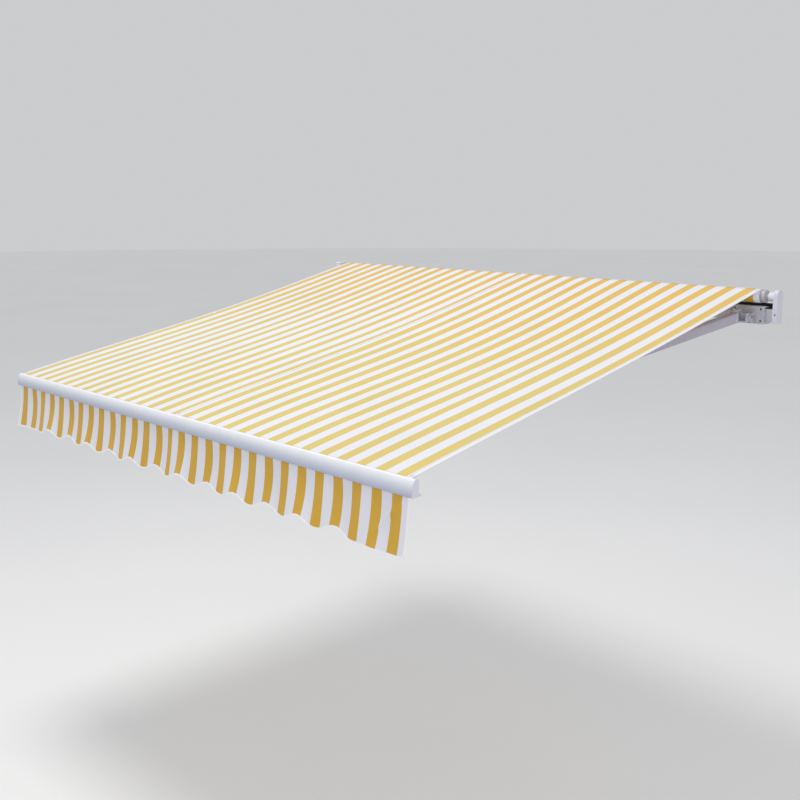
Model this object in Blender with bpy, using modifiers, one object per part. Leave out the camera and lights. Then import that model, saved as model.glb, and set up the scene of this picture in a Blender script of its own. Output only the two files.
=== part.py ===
"""Folding-arm awning, 3 m wide, opened to about 2.3 m, without the wall that it hangs on.

Metres. X runs along the awning, -Y points out from the wall, Z is up. The origin lies on the
wall face, behind the middle of the torsion bar. The awning is modelled fully opened.
"""

import math

import bmesh
import bpy
from mathutils import Matrix, Vector

# Gap left between pieces that touch on the real awning
SEAT_GAP = 0.0003
RUNNING_GAP = 0.0005

# How far one joined block stops short of the next one's face
JOIN_INSET = 0.0006

# Torsion bar, a steel tube along the wall
BAR_DEPTH = 0.040
BAR_HEIGHT = 0.060
BAR_WALL = 0.0025
BAR_CORNER = 0.006
BAR_HALF_LENGTH = 1.5095
BAR_FROM_WALL = 0.075

# Roller
ROLLER_ABOVE_BAR = 0.055
ROLLER_RADIUS = 0.030
ROLLER_WALL = 0.0015
ROLLER_END_ROOM = 0.0575
ROLLER_HALF_LENGTH = BAR_HALF_LENGTH - ROLLER_END_ROOM
PLUG_FLANGE = 0.0135
PLUG_SPIGOT = 0.040
JOURNAL_NECK_RADIUS = 0.012
JOURNAL_NECK_LENGTH = 0.016
JOURNAL_RADIUS = 0.008
JOURNAL_LENGTH = 0.024
DRIVE_SQUARE = 0.014

# Striped fabric, with as many stripes as fit on the roller
STRIPE_WIDTH = 0.050
STRIPE_PITCH = 0.100
EDGE_MARGIN = 0.030
ROLLER_BARE_END = 0.007
SEAM_STRIPE_LOSS = 0.015
SEAM_GAP_LOSS = 0.005
SEAM_LOSS = SEAM_STRIPE_LOSS + SEAM_GAP_LOSS
STRIPE_ROOM = 2 * (ROLLER_HALF_LENGTH - ROLLER_BARE_END - EDGE_MARGIN) - STRIPE_WIDTH + SEAM_LOSS
STRIPE_COUNT = 1 + math.floor(STRIPE_ROOM / STRIPE_PITCH + 0.001)
SEAM_STRIPE = (STRIPE_COUNT + 1) // 2
FABRIC_WIDTH = 2 * EDGE_MARGIN + (STRIPE_COUNT - 1) * STRIPE_PITCH + STRIPE_WIDTH - SEAM_LOSS
FABRIC_THICKNESS = 0.0006
CANOPY_ROWS = 10
CANOPY_LEAD = 0.012
ROLL_TURNS = 1.25
ROLL_TURN_GAP = 0.00025
ROLL_SIDES = 24

# The canopy's slack: places across its width, how far it hangs there at its deepest, the share of
# the way to the front bar where that is, and how evenly the slack spreads
SAG_PLACES = (-1.445, -1.42, -1.15, -0.70, -0.15, 0.28, 0.50, 0.90, 1.17, 1.38, 1.445)
SAG_DEPTHS = (0.020, 0.018, 0.020, 0.022, 0.024, 0.028, 0.034, 0.035, 0.020, 0.018, 0.010)
SAG_DEEPEST = 0.43
SAG_EVENNESS = 2.0

# Black weather strip on top of the torsion bar
STRIP_FOOT_DEPTH = 0.036
STRIP_FOOT_THICKNESS = 0.003
STRIP_RISE = 0.0205
STRIP_THICKNESS = 0.004
STRIP_LEFT_END = 0.0435 - BAR_HALF_LENGTH
STRIP_CLAMP_GAP = 0.0025

# End brackets and covers
END_PLATE_THICKNESS = 0.0045
END_PLATE_WIDTH = 0.050
END_PLATE_TOP = 0.117
END_PLATE_BOTTOM = -0.033
BOSS_RADIUS = 0.021
BUSH_WALL = 0.002
COVER_DEPTH = 0.016
COVER_WALL = 0.0025
COVER_RIM = 0.001
BAR_SPIGOT_LENGTH = 0.040

# Wall brackets
WALL_BRACKET_PLACES = {"left": -0.95, "centre": 0.0, "right": 0.95}
WALL_PLATE_WIDTH = 0.100
WALL_PLATE_HEIGHT = 0.170
WALL_PLATE_THICKNESS = 0.008
WALL_PLATE_DROP = 0.020
WALL_HOLE_RADIUS = 0.0055
WALL_HOLE_SPACING = 0.130
BRACKET_BODY_WIDTH = 0.070
BRACKET_LIP = 0.010
BRACKET_LIP_HEIGHT = 0.022
LOCK_BOLT_RADIUS = 0.005

# Arm brackets on the torsion bar
ARM_FROM_BAR_END = 0.1495
ARM_PLACE = BAR_HALF_LENGTH - ARM_FROM_BAR_END
CLAMP_ASIDE = 0.033
CLAMP_PLACE = ARM_PLACE + CLAMP_ASIDE
CLAMP_WIDTH = 0.160
CLAMP_WALL = 0.010
CLAMP_FRONT_WALL = 0.012
CLAMP_JAW = 0.007
CLAMP_CORNER = 0.003
CLAMP_BACK_HEIGHT = 0.020
CLAMP_CHEEK_THICKNESS = 0.008
CLAMP_CHEEK_HEIGHT = 0.052
CLAMP_SCREW_RADIUS = 0.005
CLAMP_SCREW_DEPTH = 0.006
CLAMP_SCREW_INSET = 0.016
CLAMP_SCREW_HEIGHTS = (0.028, -0.026)
PITCH_PIN_REACH = 0.022
PITCH_PIN_HEIGHT = -0.011
PITCH_PIN_RADIUS = 0.007
PITCH_LUG_RADIUS = 0.0205
PITCH_LUG_WIDTH = 0.088
PITCH_LUG_ASIDE = 0.014
PITCH_LUG_PLACE = ARM_PLACE + PITCH_LUG_ASIDE
PITCH_BLOCK_HEIGHT = 0.041
PITCH_BLOCK_REACH = 0.028

# Arms
SHOULDER_REACH = 0.092
SHOULDER_HEIGHT = -0.005
ARM_LENGTH = 1.067
ARM_ANGLE = math.radians(7.2)
ARM_PITCH = math.radians(10.34)
SHOULDER_OFFSET = 0.022
ELBOW_OFFSET = 0.027
FRONT_OFFSET = 0.018
ARM_WIDTH = 0.040
ARM_HEIGHT = 0.046
ARM_WALL = 0.0022
ARM_CORNER = 0.006
ARM_SPIGOT = 0.045
SHOULDER_TUBE_START = 0.036
FRONT_TUBE_START = 0.042
COLLAR_LENGTH = 0.012
ELBOW_TUBE_START = 0.047
ARM_PIN_RADIUS = 0.007
PIN_CLEARANCE = 0.0003
PIN_HEAD_RADIUS = 0.011
PIN_HEAD_HEIGHT = 0.004
SHOULDER_FORK_RADIUS = 0.024
SHOULDER_KNUCKLE_RADIUS = 0.022
SHOULDER_CHEEK = 0.0075
ELBOW_FORK_RADIUS = 0.018
ELBOW_TONGUE_RADIUS = 0.0165
ELBOW_TONGUE_HEIGHT = 0.0245
ELBOW_BLOCK_START = 0.022
FRONT_KNUCKLE_RADIUS = 0.016
FRONT_KNUCKLE_HEIGHT = 0.024
FRONT_CHEEK = 0.005
NECK_WIDTH = 0.026
SPRING_RADIUS = 0.014
SPRING_LENGTH = 0.46
SPRING_RINGS = 12
SPRING_GROOVE = 0.0025
SPRING_HOOK_RADIUS = 0.003

# Front bar
FRONT_BAR_HALF_LENGTH = 1.463
FRONT_CAP_THICKNESS = 0.004
FRONT_BAR_FROM_PIVOT = 0.047
FRONT_BAR_ABOVE_PIVOT = 0.019
FRONT_PLATE_THICKNESS = 0.008
FRONT_PLATE_WIDTH = 0.048
FRONT_FORK_DEPTH = 0.030
FRONT_PLATE_TOP = -0.006
FRONT_PLATE_BOTTOM = -0.039
SLOT_WIDTH = 0.0026
GROOVE_LIP_HEIGHT = 0.0010
BEAD_CHANNEL_RADIUS = 0.0034
CANOPY_SLOT = (-0.0025, -0.0095)
VALANCE_SLOT = (-0.0185, -0.0510)
BAR_BOTTOM = -0.0590
FRONT_FACE_TOP = 0.0016
FRONT_FACE_POINTS = (
    (-0.0075, 0.0022),
    (-0.0108, 0.0012),
    (-0.0140, -0.0020),
    (-0.0172, -0.0080),
    (-0.0205, -0.0160),
    (-0.0230, -0.0250),
    (-0.0246, -0.0350),
    (-0.0256, -0.0450),
    (-0.0260, -0.0530),
    (-0.0250, -0.0575),
)
FRONT_FACE_FOOT = -0.0226
FRONT_FOOT_POINTS = (
    (0.0040, -0.0575),
    (0.0145, -0.0550),
    (0.0160, -0.0530),
    (0.0125, -0.0490),
    (0.0065, -0.0455),
)
FRONT_FACE_BACK = 0.003
FRONT_BACK_FOOT = -0.0415
FRONT_BACK_TOP = -0.0030
FRONT_BACK_CORNER = (0.0018, 0.0004)

# Valance
VALANCE_LONG = 0.205
VALANCE_SHORT = 0.177
VALANCE_WAVE = 0.200
VALANCE_ROWS = 5
VALANCE_SWEEP = 0.028
VALANCE_RIPPLE = 0.006
VALANCE_INSERT = 0.004

# Crank gear at the left end
GEAR_TEETH = 22
WORM_STARTS = 2
GEAR_PITCH_RADIUS = 0.027
WORM_PITCH_RADIUS = 0.010
GEAR_ADDENDUM = 0.0020
GEAR_DEDENDUM = 0.0026
TOOTH_SHARE = 0.34
PRESSURE_ANGLE = math.radians(20)
GEAR_FACE = 0.010
WORM_LENGTH = 0.036
WORM_STEPS = 30
GEAR_FROM_BAR_END = 0.020
GEAR_PLACE = GEAR_FROM_BAR_END - BAR_HALF_LENGTH
GEAR_HUB_RADIUS = 0.013
GEAR_HUB_LENGTH = 0.022
GEARBOX_WALL = 0.0035
GEARBOX_LENGTH = 0.0395
GEARBOX_OUTER_END = -BAR_HALF_LENGTH
GEARBOX_INNER_END = GEARBOX_OUTER_END + GEARBOX_LENGTH
GEARBOX_CORNER = 0.008
GEARBOX_LID = 0.0025
CRANK_SHAFT_RADIUS = 0.005
CRANK_SHAFT_BOTTOM = -0.060
CRANK_EYE_RADIUS = 0.016
CRANK_EYE_WIRE = 0.0035

# Places worked out from the sizes above
BAR_Y = -BAR_FROM_WALL
ROLLER_CENTRE = Vector((0, BAR_Y, BAR_HEIGHT / 2 + ROLLER_ABOVE_BAR))
BAR_FRONT = BAR_Y - BAR_DEPTH / 2
BAR_BACK = BAR_Y + BAR_DEPTH / 2
CLAMP_FRONT = BAR_FRONT - SEAT_GAP - CLAMP_FRONT_WALL
PITCH_PIN = Vector((0, CLAMP_FRONT - PITCH_PIN_REACH, PITCH_PIN_HEIGHT))
SHOULDER = Vector((0, BAR_Y - SHOULDER_REACH, SHOULDER_HEIGHT))
ARM_SPAN = 2 * ARM_LENGTH * math.cos(ARM_ANGLE)
FRONT_PIVOT = SHOULDER + ARM_SPAN * Vector((0, -math.cos(ARM_PITCH), -math.sin(ARM_PITCH)))
FRONT_BAR = FRONT_PIVOT + Vector((0, -FRONT_BAR_FROM_PIVOT, FRONT_BAR_ABOVE_PIVOT))
END_PLATE_INNER = BAR_HALF_LENGTH + RUNNING_GAP
END_PLATE_OUTER = END_PLATE_INNER + END_PLATE_THICKNESS
INNER_TURN = math.asin((SHOULDER_OFFSET + ELBOW_OFFSET) / ARM_LENGTH)
INNER_REACH = ARM_LENGTH * math.cos(INNER_TURN)
OUTER_TURN = math.asin((ELBOW_OFFSET - FRONT_OFFSET) / ARM_LENGTH)
OUTER_REACH = ARM_LENGTH * math.cos(OUTER_TURN)
WORM_Y = BAR_Y - GEAR_PITCH_RADIUS - WORM_PITCH_RADIUS

# Turns a flat outline so that its x lies along Y, its y along Z and its thickness along X
ALONG_X = (math.pi / 2, 0, math.pi / 2)


def clear_scene():
    for item in list(bpy.data.objects):
        bpy.data.objects.remove(item, do_unlink=True)


clear_scene()
awning = bpy.data.collections.new("folding_arm_awning")
cutters = bpy.data.collections.new("cutters")
bpy.context.scene.collection.children.link(awning)
bpy.context.scene.collection.children.link(cutters)
cutters.hide_render = True


def material(name, colour, roughness, metallic=0.0):
    made = bpy.data.materials.new(name)
    made.use_nodes = True
    shader = made.node_tree.nodes["Principled BSDF"]
    shader.inputs["Base Color"].default_value = (*colour, 1.0)
    shader.inputs["Roughness"].default_value = roughness
    shader.inputs["Metallic"].default_value = metallic
    made.diffuse_color = (*colour, 1.0)
    return made


WHITE_ENAMEL = material("white_enamel", (0.80, 0.80, 0.84), 0.35)
GREY_STEEL = material("galvanised_steel", (0.52, 0.53, 0.55), 0.45, 0.8)
ARM_ENAMEL = material("arm_enamel", (0.66, 0.65, 0.68), 0.4)
CAST_ALLOY = material("cast_alloy", (0.58, 0.58, 0.60), 0.5, 0.5)
BOLT_ZINC = material("bolt_zinc", (0.70, 0.70, 0.68), 0.3, 1.0)
BLACK_RUBBER = material("black_rubber", (0.01, 0.01, 0.012), 0.7)
WHITE_PLASTIC = material("white_plastic", (0.75, 0.75, 0.82), 0.4)
GREY_NYLON = material("grey_nylon", (0.35, 0.35, 0.36), 0.5)
SPRING_STEEL = material("spring_steel", (0.30, 0.30, 0.31), 0.35, 1.0)
YELLOW_CLOTH = material("yellow_cloth", (0.76, 0.60, 0.20), 0.9)
WHITE_CLOTH = material("white_cloth", (0.86, 0.86, 0.88), 0.9)
BRASS = material("gear_brass", (0.62, 0.48, 0.22), 0.35, 1.0)


def frame_at(name, location=(0, 0, 0), rotation=(0, 0, 0), parent=None):
    """An empty that carries the pieces of one moving group."""
    empty = bpy.data.objects.new(name, None)
    awning.objects.link(empty)
    set_place(empty, location, rotation, parent)
    return empty


def set_place(item, location, rotation, parent):
    item.location = location
    item.rotation_euler = rotation
    item.parent = parent


def add_mesh(name, mesh, finish, location, rotation, parent, helper=False):
    made = bpy.data.objects.new(name, mesh)
    (cutters if helper else awning).objects.link(made)
    if helper:
        made.hide_render = True
        made.display_type = "WIRE"
    if finish and not mesh.materials:
        mesh.materials.append(finish)
    set_place(made, location, rotation, parent)
    return made


def box(name, low, high, finish=None, location=(0, 0, 0), rotation=(0, 0, 0), parent=None, helper=False):
    """A block between two corners, given in the frame of its parent."""
    low = Vector(low)
    high = Vector(high)
    shape = bmesh.new()
    bmesh.ops.create_cube(shape, size=1.0)
    bmesh.ops.scale(shape, vec=high - low, verts=shape.verts)
    bmesh.ops.translate(shape, vec=(high + low) / 2, verts=shape.verts)
    return from_bmesh(name, shape, finish, location, rotation, parent, helper)


def from_bmesh(name, shape, finish, location, rotation, parent, helper):
    mesh = bpy.data.meshes.new(name)
    shape.to_mesh(mesh)
    shape.free()
    return add_mesh(name, mesh, finish, location, rotation, parent, helper)


def rod(name, start, end, radius, finish=None, parent=None, helper=False, sides=16, end_radius=None):
    """A round bar or cone between two points."""
    start = Vector(start)
    end = Vector(end)
    length = (end - start).length
    turn = Vector((0, 0, 1)).rotation_difference(end - start).to_matrix().to_4x4()
    shape = bmesh.new()
    bmesh.ops.create_cone(
        shape,
        cap_ends=True,
        segments=sides,
        radius1=radius,
        radius2=radius if end_radius is None else end_radius,
        depth=length,
        matrix=Matrix.Translation((start + end) / 2) @ turn,
    )
    made = from_bmesh(name, shape, finish, (0, 0, 0), (0, 0, 0), parent, helper)
    made.data.shade_smooth()
    made.data.set_sharp_from_angle(angle=math.radians(40))
    return made


def prism(
    name, outlines, low, high, finish=None, location=(0, 0, 0), rotation=(0, 0, 0), parent=None, helper=False
):
    """A flat outline, with any holes in it, made solid from height low to height high."""
    flat = bpy.data.curves.new(name, "CURVE")
    flat.dimensions = "2D"
    flat.fill_mode = "BOTH"
    flat.extrude = (high - low) / 2
    for outline in outlines:
        spline = flat.splines.new("POLY")
        spline.points.add(len(outline) - 1)
        for point, (x, y) in zip(spline.points, outline):
            point.co = (x, y, 0, 1)
        spline.use_cyclic_u = True
    guide = bpy.data.objects.new(name, flat)
    cutters.objects.link(guide)
    bpy.context.view_layer.update()
    mesh = bpy.data.meshes.new_from_object(guide.evaluated_get(bpy.context.evaluated_depsgraph_get()))
    bpy.data.objects.remove(guide, do_unlink=True)
    mesh.name = name
    shape = bmesh.new()
    shape.from_mesh(mesh)
    bmesh.ops.remove_doubles(shape, verts=shape.verts, dist=1e-6)
    bmesh.ops.translate(shape, vec=(0, 0, (high + low) / 2), verts=shape.verts)
    bmesh.ops.recalc_face_normals(shape, faces=shape.faces)
    shape.to_mesh(mesh)
    shape.free()
    mesh.materials.clear()
    return add_mesh(name, mesh, finish, location, rotation, parent, helper)


def cut(piece, *tools):
    for tool in tools:
        change = piece.modifiers.new("cut_" + tool.name, "BOOLEAN")
        change.operation = "DIFFERENCE"
        change.object = tool
    return piece


def join(piece, *others):
    for other in others:
        change = piece.modifiers.new("join_" + other.name, "BOOLEAN")
        change.operation = "UNION"
        change.object = other
    return piece


def arc(centre, radius, start, end, steps):
    """Points on an arc, angles in degrees."""
    points = []
    for step in range(steps + 1):
        angle = math.radians(start + (end - start) * step / steps)
        points.append((centre[0] + radius * math.cos(angle), centre[1] + radius * math.sin(angle)))
    return points


def circle(centre, radius, sides=16):
    return arc(centre, radius, 0, 360 - 360 / sides, sides - 1)


def rounded_rectangle(low, high, radius, steps=3):
    (x0, y0), (x1, y1) = low, high
    points = arc((x1 - radius, y0 + radius), radius, -90, 0, steps)
    points += arc((x1 - radius, y1 - radius), radius, 0, 90, steps)
    points += arc((x0 + radius, y1 - radius), radius, 90, 180, steps)
    points += arc((x0 + radius, y0 + radius), radius, 180, 270, steps)
    return points


def hull_of(points):
    """The convex outline round some points, by the monotone chain."""
    ordered = sorted(set((round(x, 7), round(y, 7)) for x, y in points))

    def chain(items):
        kept = []
        for point in items:
            while len(kept) > 1 and turn_of(kept[-2], kept[-1], point) <= 0:
                kept.pop()
            kept.append(point)
        return kept[:-1]

    return chain(ordered) + chain(ordered[::-1])


def turn_of(a, b, c):
    return (b[0] - a[0]) * (c[1] - a[1]) - (b[1] - a[1]) * (c[0] - a[0])


def rectangle(x0, x1, y0, y1):
    return [(x0, y0), (x1, y0), (x1, y1), (x0, y1)]


def band_edges():
    """X of every boundary between two colours, from the left edge to the right edge."""
    edges = [0.0]
    for number in range(1, STRIPE_COUNT + 1):
        start = EDGE_MARGIN + (number - 1) * STRIPE_PITCH
        width = STRIPE_WIDTH
        if number == SEAM_STRIPE:
            width -= SEAM_STRIPE_LOSS
        if number > SEAM_STRIPE:
            start -= SEAM_LOSS
        edges += [start, start + width]
    edges.append(FABRIC_WIDTH)
    return [edge - FABRIC_WIDTH / 2 for edge in edges]


def smooth_between(places, values, place):
    """A value that eases from one named place to the next."""
    if place <= places[0]:
        return values[0]
    for index in range(len(places) - 1):
        if place <= places[index + 1]:
            share = (place - places[index]) / (places[index + 1] - places[index])
            eased = share * share * (3 - 2 * share)
            return values[index] + (values[index + 1] - values[index]) * eased
    return values[-1]


def cloth_grid(name, columns, rows, point_at, parent):
    """A striped sheet: columns are X places, and point_at gives the place of row r at X x."""
    shape = bmesh.new()
    bmesh.ops.create_grid(shape, x_segments=len(columns) - 1, y_segments=rows, size=0.5)
    for vertex in shape.verts:
        column = round((vertex.co.x + 0.5) * (len(columns) - 1))
        row = round((vertex.co.y + 0.5) * rows)
        vertex.co = point_at(columns[column], row)
    shape.faces.ensure_lookup_table()
    made = from_bmesh(name, shape, WHITE_CLOTH, (0, 0, 0), (0, 0, 0), parent, False)
    made.data.materials.append(YELLOW_CLOTH)
    edges = band_edges()
    for face in made.data.polygons:
        inside = sum(1 for edge in edges if edge < face.center.x)
        face.material_index = 1 if inside % 2 == 0 else 0
    thick = made.modifiers.new("thickness", "SOLIDIFY")
    thick.thickness = FABRIC_THICKNESS
    thick.offset = 0
    return made


# Torsion bar
def torsion_bar():
    half = (BAR_DEPTH / 2, BAR_HEIGHT / 2)
    outer = rounded_rectangle((-half[0], -half[1]), half, BAR_CORNER)
    inner = rounded_rectangle(
        (-half[0] + BAR_WALL, -half[1] + BAR_WALL),
        (half[0] - BAR_WALL, half[1] - BAR_WALL),
        BAR_CORNER - BAR_WALL,
    )
    ends = (-BAR_HALF_LENGTH, BAR_HALF_LENGTH)
    prism("torsion_bar", [outer, inner], *ends, GREY_STEEL, (0, BAR_Y, 0), ALONG_X)


# Black weather strip
def weather_strip():
    foot = BAR_HEIGHT / 2 + SEAT_GAP
    back = BAR_Y + STRIP_FOOT_DEPTH / 2
    front = back - STRIP_FOOT_DEPTH
    outline = [
        (front, foot),
        (back, foot),
        (back, foot + STRIP_FOOT_THICKNESS + STRIP_RISE),
        (back - STRIP_THICKNESS, foot + STRIP_FOOT_THICKNESS + STRIP_RISE),
        (back - STRIP_THICKNESS, foot + STRIP_FOOT_THICKNESS),
        (front, foot + STRIP_FOOT_THICKNESS),
    ]
    prism("weather_strip", [outline], STRIP_LEFT_END, BAR_HALF_LENGTH, BLACK_RUBBER, rotation=ALONG_X)


# Wall brackets
def wall_bracket(name, place):
    top = WALL_PLATE_HEIGHT / 2 - WALL_PLATE_DROP
    bottom = top - WALL_PLATE_HEIGHT
    half = WALL_PLATE_WIDTH / 2
    piece = box(
        f"wall_bracket_{name}",
        (-half, -WALL_PLATE_THICKNESS, bottom),
        (half, 0, top),
        GREY_STEEL,
        location=(place, 0, 0),
    )
    under = BAR_HEIGHT / 2 + SEAT_GAP
    lip_front = BAR_FRONT - SEAT_GAP - BRACKET_LIP
    outline = [
        (-WALL_PLATE_THICKNESS / 2, -under - BRACKET_LIP),
        (-WALL_PLATE_THICKNESS / 2, BAR_HEIGHT / 2),
        (BAR_BACK + SEAT_GAP, BAR_HEIGHT / 2),
        (BAR_BACK + SEAT_GAP, -under),
        (BAR_FRONT - SEAT_GAP, -under),
        (BAR_FRONT - SEAT_GAP, -under + BRACKET_LIP_HEIGHT),
        (lip_front, -under + BRACKET_LIP_HEIGHT),
        (lip_front, -under - BRACKET_LIP),
    ]
    width = BRACKET_BODY_WIDTH / 2
    hook = prism(
        f"hook_{name}", [outline], -width, width, location=(place, 0, 0), rotation=ALONG_X, helper=True
    )
    join(piece, hook)
    middle = (top + bottom) / 2
    for up in (-1, 1):
        height = middle + up * WALL_HOLE_SPACING / 2
        hole = rod(
            f"wall_hole_{name}_{up}",
            (place, -WALL_PLATE_THICKNESS - 0.01, height),
            (place, 0.01, height),
            WALL_HOLE_RADIUS,
            helper=True,
            sides=28,
        )
        cut(piece, hole)
    bolt_hole = rod(
        f"lock_hole_{name}",
        (place, BAR_Y, -under - BRACKET_LIP - 0.01),
        (place, BAR_Y, -under + 0.001),
        LOCK_BOLT_RADIUS + PIN_CLEARANCE,
        helper=True,
    )
    cut(piece, bolt_hole)
    head = -under - BRACKET_LIP - SEAT_GAP
    bolt = rod(
        f"bracket_bolt_{name}",
        (place, BAR_Y, head - 0.002),
        (place, BAR_Y, -under),
        LOCK_BOLT_RADIUS,
        BOLT_ZINC,
        sides=16,
    )
    foot = (place, BAR_Y, head - 0.007)
    nut = rod(f"bolt_head_{name}", foot, (place, BAR_Y, head), 0.009, helper=True, sides=6)
    join(bolt, nut)


# End brackets, their covers and the roller's bearing
def end_outline(width, top, bottom, corner):
    """Straight front and back with a half-round top, as (y, z) about the bar's centre line."""
    half = width / 2
    points = [(-half + corner, bottom), (half - corner, bottom), (half, bottom + corner)]
    points += arc((0, top - half), half, 0, 180, 14)
    points.append((-half, bottom + corner))
    return points


def end_bracket(side_name, side):
    outline = end_outline(END_PLATE_WIDTH, END_PLATE_TOP, END_PLATE_BOTTOM, 0.005)
    ends = sorted((side * END_PLATE_INNER, side * END_PLATE_OUTER))
    plate = prism(
        f"end_bracket_{side_name}", [outline], ends[0], ends[1], WHITE_ENAMEL, (0, BAR_Y, 0), ALONG_X
    )
    inside = BAR_WALL + SEAT_GAP
    half = (BAR_DEPTH / 2 - inside, BAR_HEIGHT / 2 - inside)
    reach = sorted((side * (BAR_HALF_LENGTH - BAR_SPIGOT_LENGTH), side * (END_PLATE_INNER + 0.001)))
    spigot = prism(
        f"bar_spigot_{side_name}",
        [rounded_rectangle((-half[0], -half[1]), half, BAR_CORNER - BAR_WALL)],
        reach[0],
        reach[1],
        location=(0, BAR_Y, 0),
        rotation=ALONG_X,
        helper=True,
    )
    join(plate, spigot)
    return plate


def bearing_end():
    """Boss, bush and journal at the right end of the roller."""
    plate = bpy.data.objects["end_bracket_right"]
    neck_end = ROLLER_HALF_LENGTH + SEAT_GAP + PLUG_FLANGE + JOURNAL_NECK_LENGTH
    boss_start = neck_end + RUNNING_GAP
    centre = ROLLER_CENTRE
    boss = rod(
        "bearing_boss",
        (boss_start, centre.y, centre.z),
        (END_PLATE_INNER + 0.001, centre.y, centre.z),
        BOSS_RADIUS,
        helper=True,
        sides=20,
    )
    join(plate, boss)
    bush_radius = JOURNAL_RADIUS + PIN_CLEARANCE + BUSH_WALL
    bore = rod(
        "bearing_bore",
        (boss_start - 0.01, centre.y, centre.z),
        (END_PLATE_OUTER + 0.01, centre.y, centre.z),
        bush_radius + SEAT_GAP,
        helper=True,
    )
    cut(plate, bore)
    rings = [
        circle((0, 0), bush_radius),
        circle((0, 0), JOURNAL_RADIUS + PIN_CLEARANCE),
    ]
    prism(
        "roller_bush",
        rings,
        boss_start + 0.001,
        END_PLATE_OUTER - 0.001,
        GREY_NYLON,
        (0, centre.y, centre.z),
        ALONG_X,
    )


def end_cover(side_name, side):
    width = END_PLATE_WIDTH + 2 * COVER_RIM
    outline = end_outline(width, END_PLATE_TOP + COVER_RIM, END_PLATE_BOTTOM - COVER_RIM, 0.006)
    start = END_PLATE_OUTER + SEAT_GAP
    ends = sorted((side * start, side * (start + COVER_DEPTH)))
    cover = prism(f"end_cover_{side_name}", [outline], *ends, WHITE_PLASTIC, (0, BAR_Y, 0), ALONG_X)
    inner = end_outline(
        width - 2 * COVER_WALL,
        END_PLATE_TOP + COVER_RIM - COVER_WALL,
        END_PLATE_BOTTOM - COVER_RIM + COVER_WALL,
        0.004,
    )
    hollow = sorted((side * (start - 0.005), side * (start + COVER_DEPTH - COVER_WALL)))
    cut(
        cover,
        prism(
            f"cover_hollow_{side_name}",
            [inner],
            hollow[0],
            hollow[1],
            location=(0, BAR_Y, 0),
            rotation=ALONG_X,
            helper=True,
        ),
    )
    edge = cover.modifiers.new("soft_edge", "BEVEL")
    edge.width = 0.0012
    edge.segments = 1
    edge.limit_method = "ANGLE"
    edge.angle_limit = math.radians(60)


# Roller, its end plugs and the turns of fabric left on it
def roller(parent):
    outer = circle((0, 0), ROLLER_RADIUS, ROLL_SIDES)
    inner = circle((0, 0), ROLLER_RADIUS - ROLLER_WALL, ROLL_SIDES)
    ends = (-ROLLER_HALF_LENGTH, ROLLER_HALF_LENGTH)
    prism("roller_tube", [outer, inner], *ends, GREY_STEEL, rotation=ALONG_X, parent=parent)
    bore = ROLLER_RADIUS - ROLLER_WALL - SEAT_GAP
    flange_start = ROLLER_HALF_LENGTH + SEAT_GAP
    flange_end = flange_start + PLUG_FLANGE
    for side_name, side in (("left", -1), ("right", 1)):
        plug = rod(
            f"roller_plug_{side_name}",
            (side * flange_start, 0, 0),
            (side * flange_end, 0, 0),
            ROLLER_RADIUS,
            CAST_ALLOY,
            parent,
            sides=ROLL_SIDES,
        )
        spigot = rod(
            f"plug_spigot_{side_name}",
            (side * (flange_start - PLUG_SPIGOT), 0, 0),
            (side * (flange_start + 0.002), 0, 0),
            bore * math.cos(math.pi / ROLL_SIDES),
            parent=parent,
            helper=True,
            sides=ROLL_SIDES,
        )
        join(plug, spigot)
        if side > 0:
            neck_end = flange_end + JOURNAL_NECK_LENGTH
            neck = rod(
                "journal_neck",
                (flange_end - 0.002, 0, 0),
                (neck_end, 0, 0),
                JOURNAL_NECK_RADIUS,
                parent=parent,
                helper=True,
            )
            journal = rod(
                "journal",
                (neck_end - 0.002, 0, 0),
                (neck_end + JOURNAL_LENGTH, 0, 0),
                JOURNAL_RADIUS,
                parent=parent,
                helper=True,
            )
            join(plug, neck, journal)
        else:
            half = DRIVE_SQUARE / 2
            drive = box(
                "drive_square",
                (GEAR_PLACE - GEAR_HUB_LENGTH / 2, -half, -half),
                (-flange_end + 0.002, half, half),
                parent=parent,
                helper=True,
            )
            join(plug, drive)


def roll_radius(turn):
    """Radius of the middle of the cloth, turn turns from the inner end."""
    flat_loss = ROLLER_RADIUS * (1 - math.cos(math.pi / ROLL_SIDES))
    start = ROLLER_RADIUS + FABRIC_THICKNESS / 2 + 2 * SEAT_GAP + flat_loss
    return start + turn * (FABRIC_THICKNESS + ROLL_TURN_GAP)


def leaving_angle():
    """Angle, from straight up towards the front, at which the canopy leaves the roll."""
    groove = canopy_groove() - ROLLER_CENTRE
    distance = math.hypot(groove.y, groove.z)
    down = math.atan2(-groove.z, -groove.y)
    return down + math.asin(roll_radius(ROLL_TURNS) / distance)


def canopy_groove():
    """Where the canopy turns down into the front bar's slot, over the slot's back lip."""
    rise = FABRIC_THICKNESS / 2 + SEAT_GAP
    return FRONT_BAR + Vector((0, CANOPY_SLOT[0], GROOVE_LIP_HEIGHT + rise))


def fabric_roll(parent):
    steps = round(ROLL_TURNS * ROLL_SIDES)
    end = leaving_angle()
    middle = []
    for step in range(steps + 1):
        turn = step / ROLL_SIDES
        angle = end - 2 * math.pi * (ROLL_TURNS - turn)
        middle.append((angle, roll_radius(turn)))
    half = FABRIC_THICKNESS / 2
    outside = [(-(r + half) * math.sin(a), (r + half) * math.cos(a)) for a, r in middle]
    inside = [(-(r - half) * math.sin(a), (r - half) * math.cos(a)) for a, r in middle]
    prism(
        "fabric_roll",
        [outside + inside[::-1]],
        -FABRIC_WIDTH / 2,
        FABRIC_WIDTH / 2,
        WHITE_CLOTH,
        rotation=ALONG_X,
        parent=parent,
    )


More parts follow.
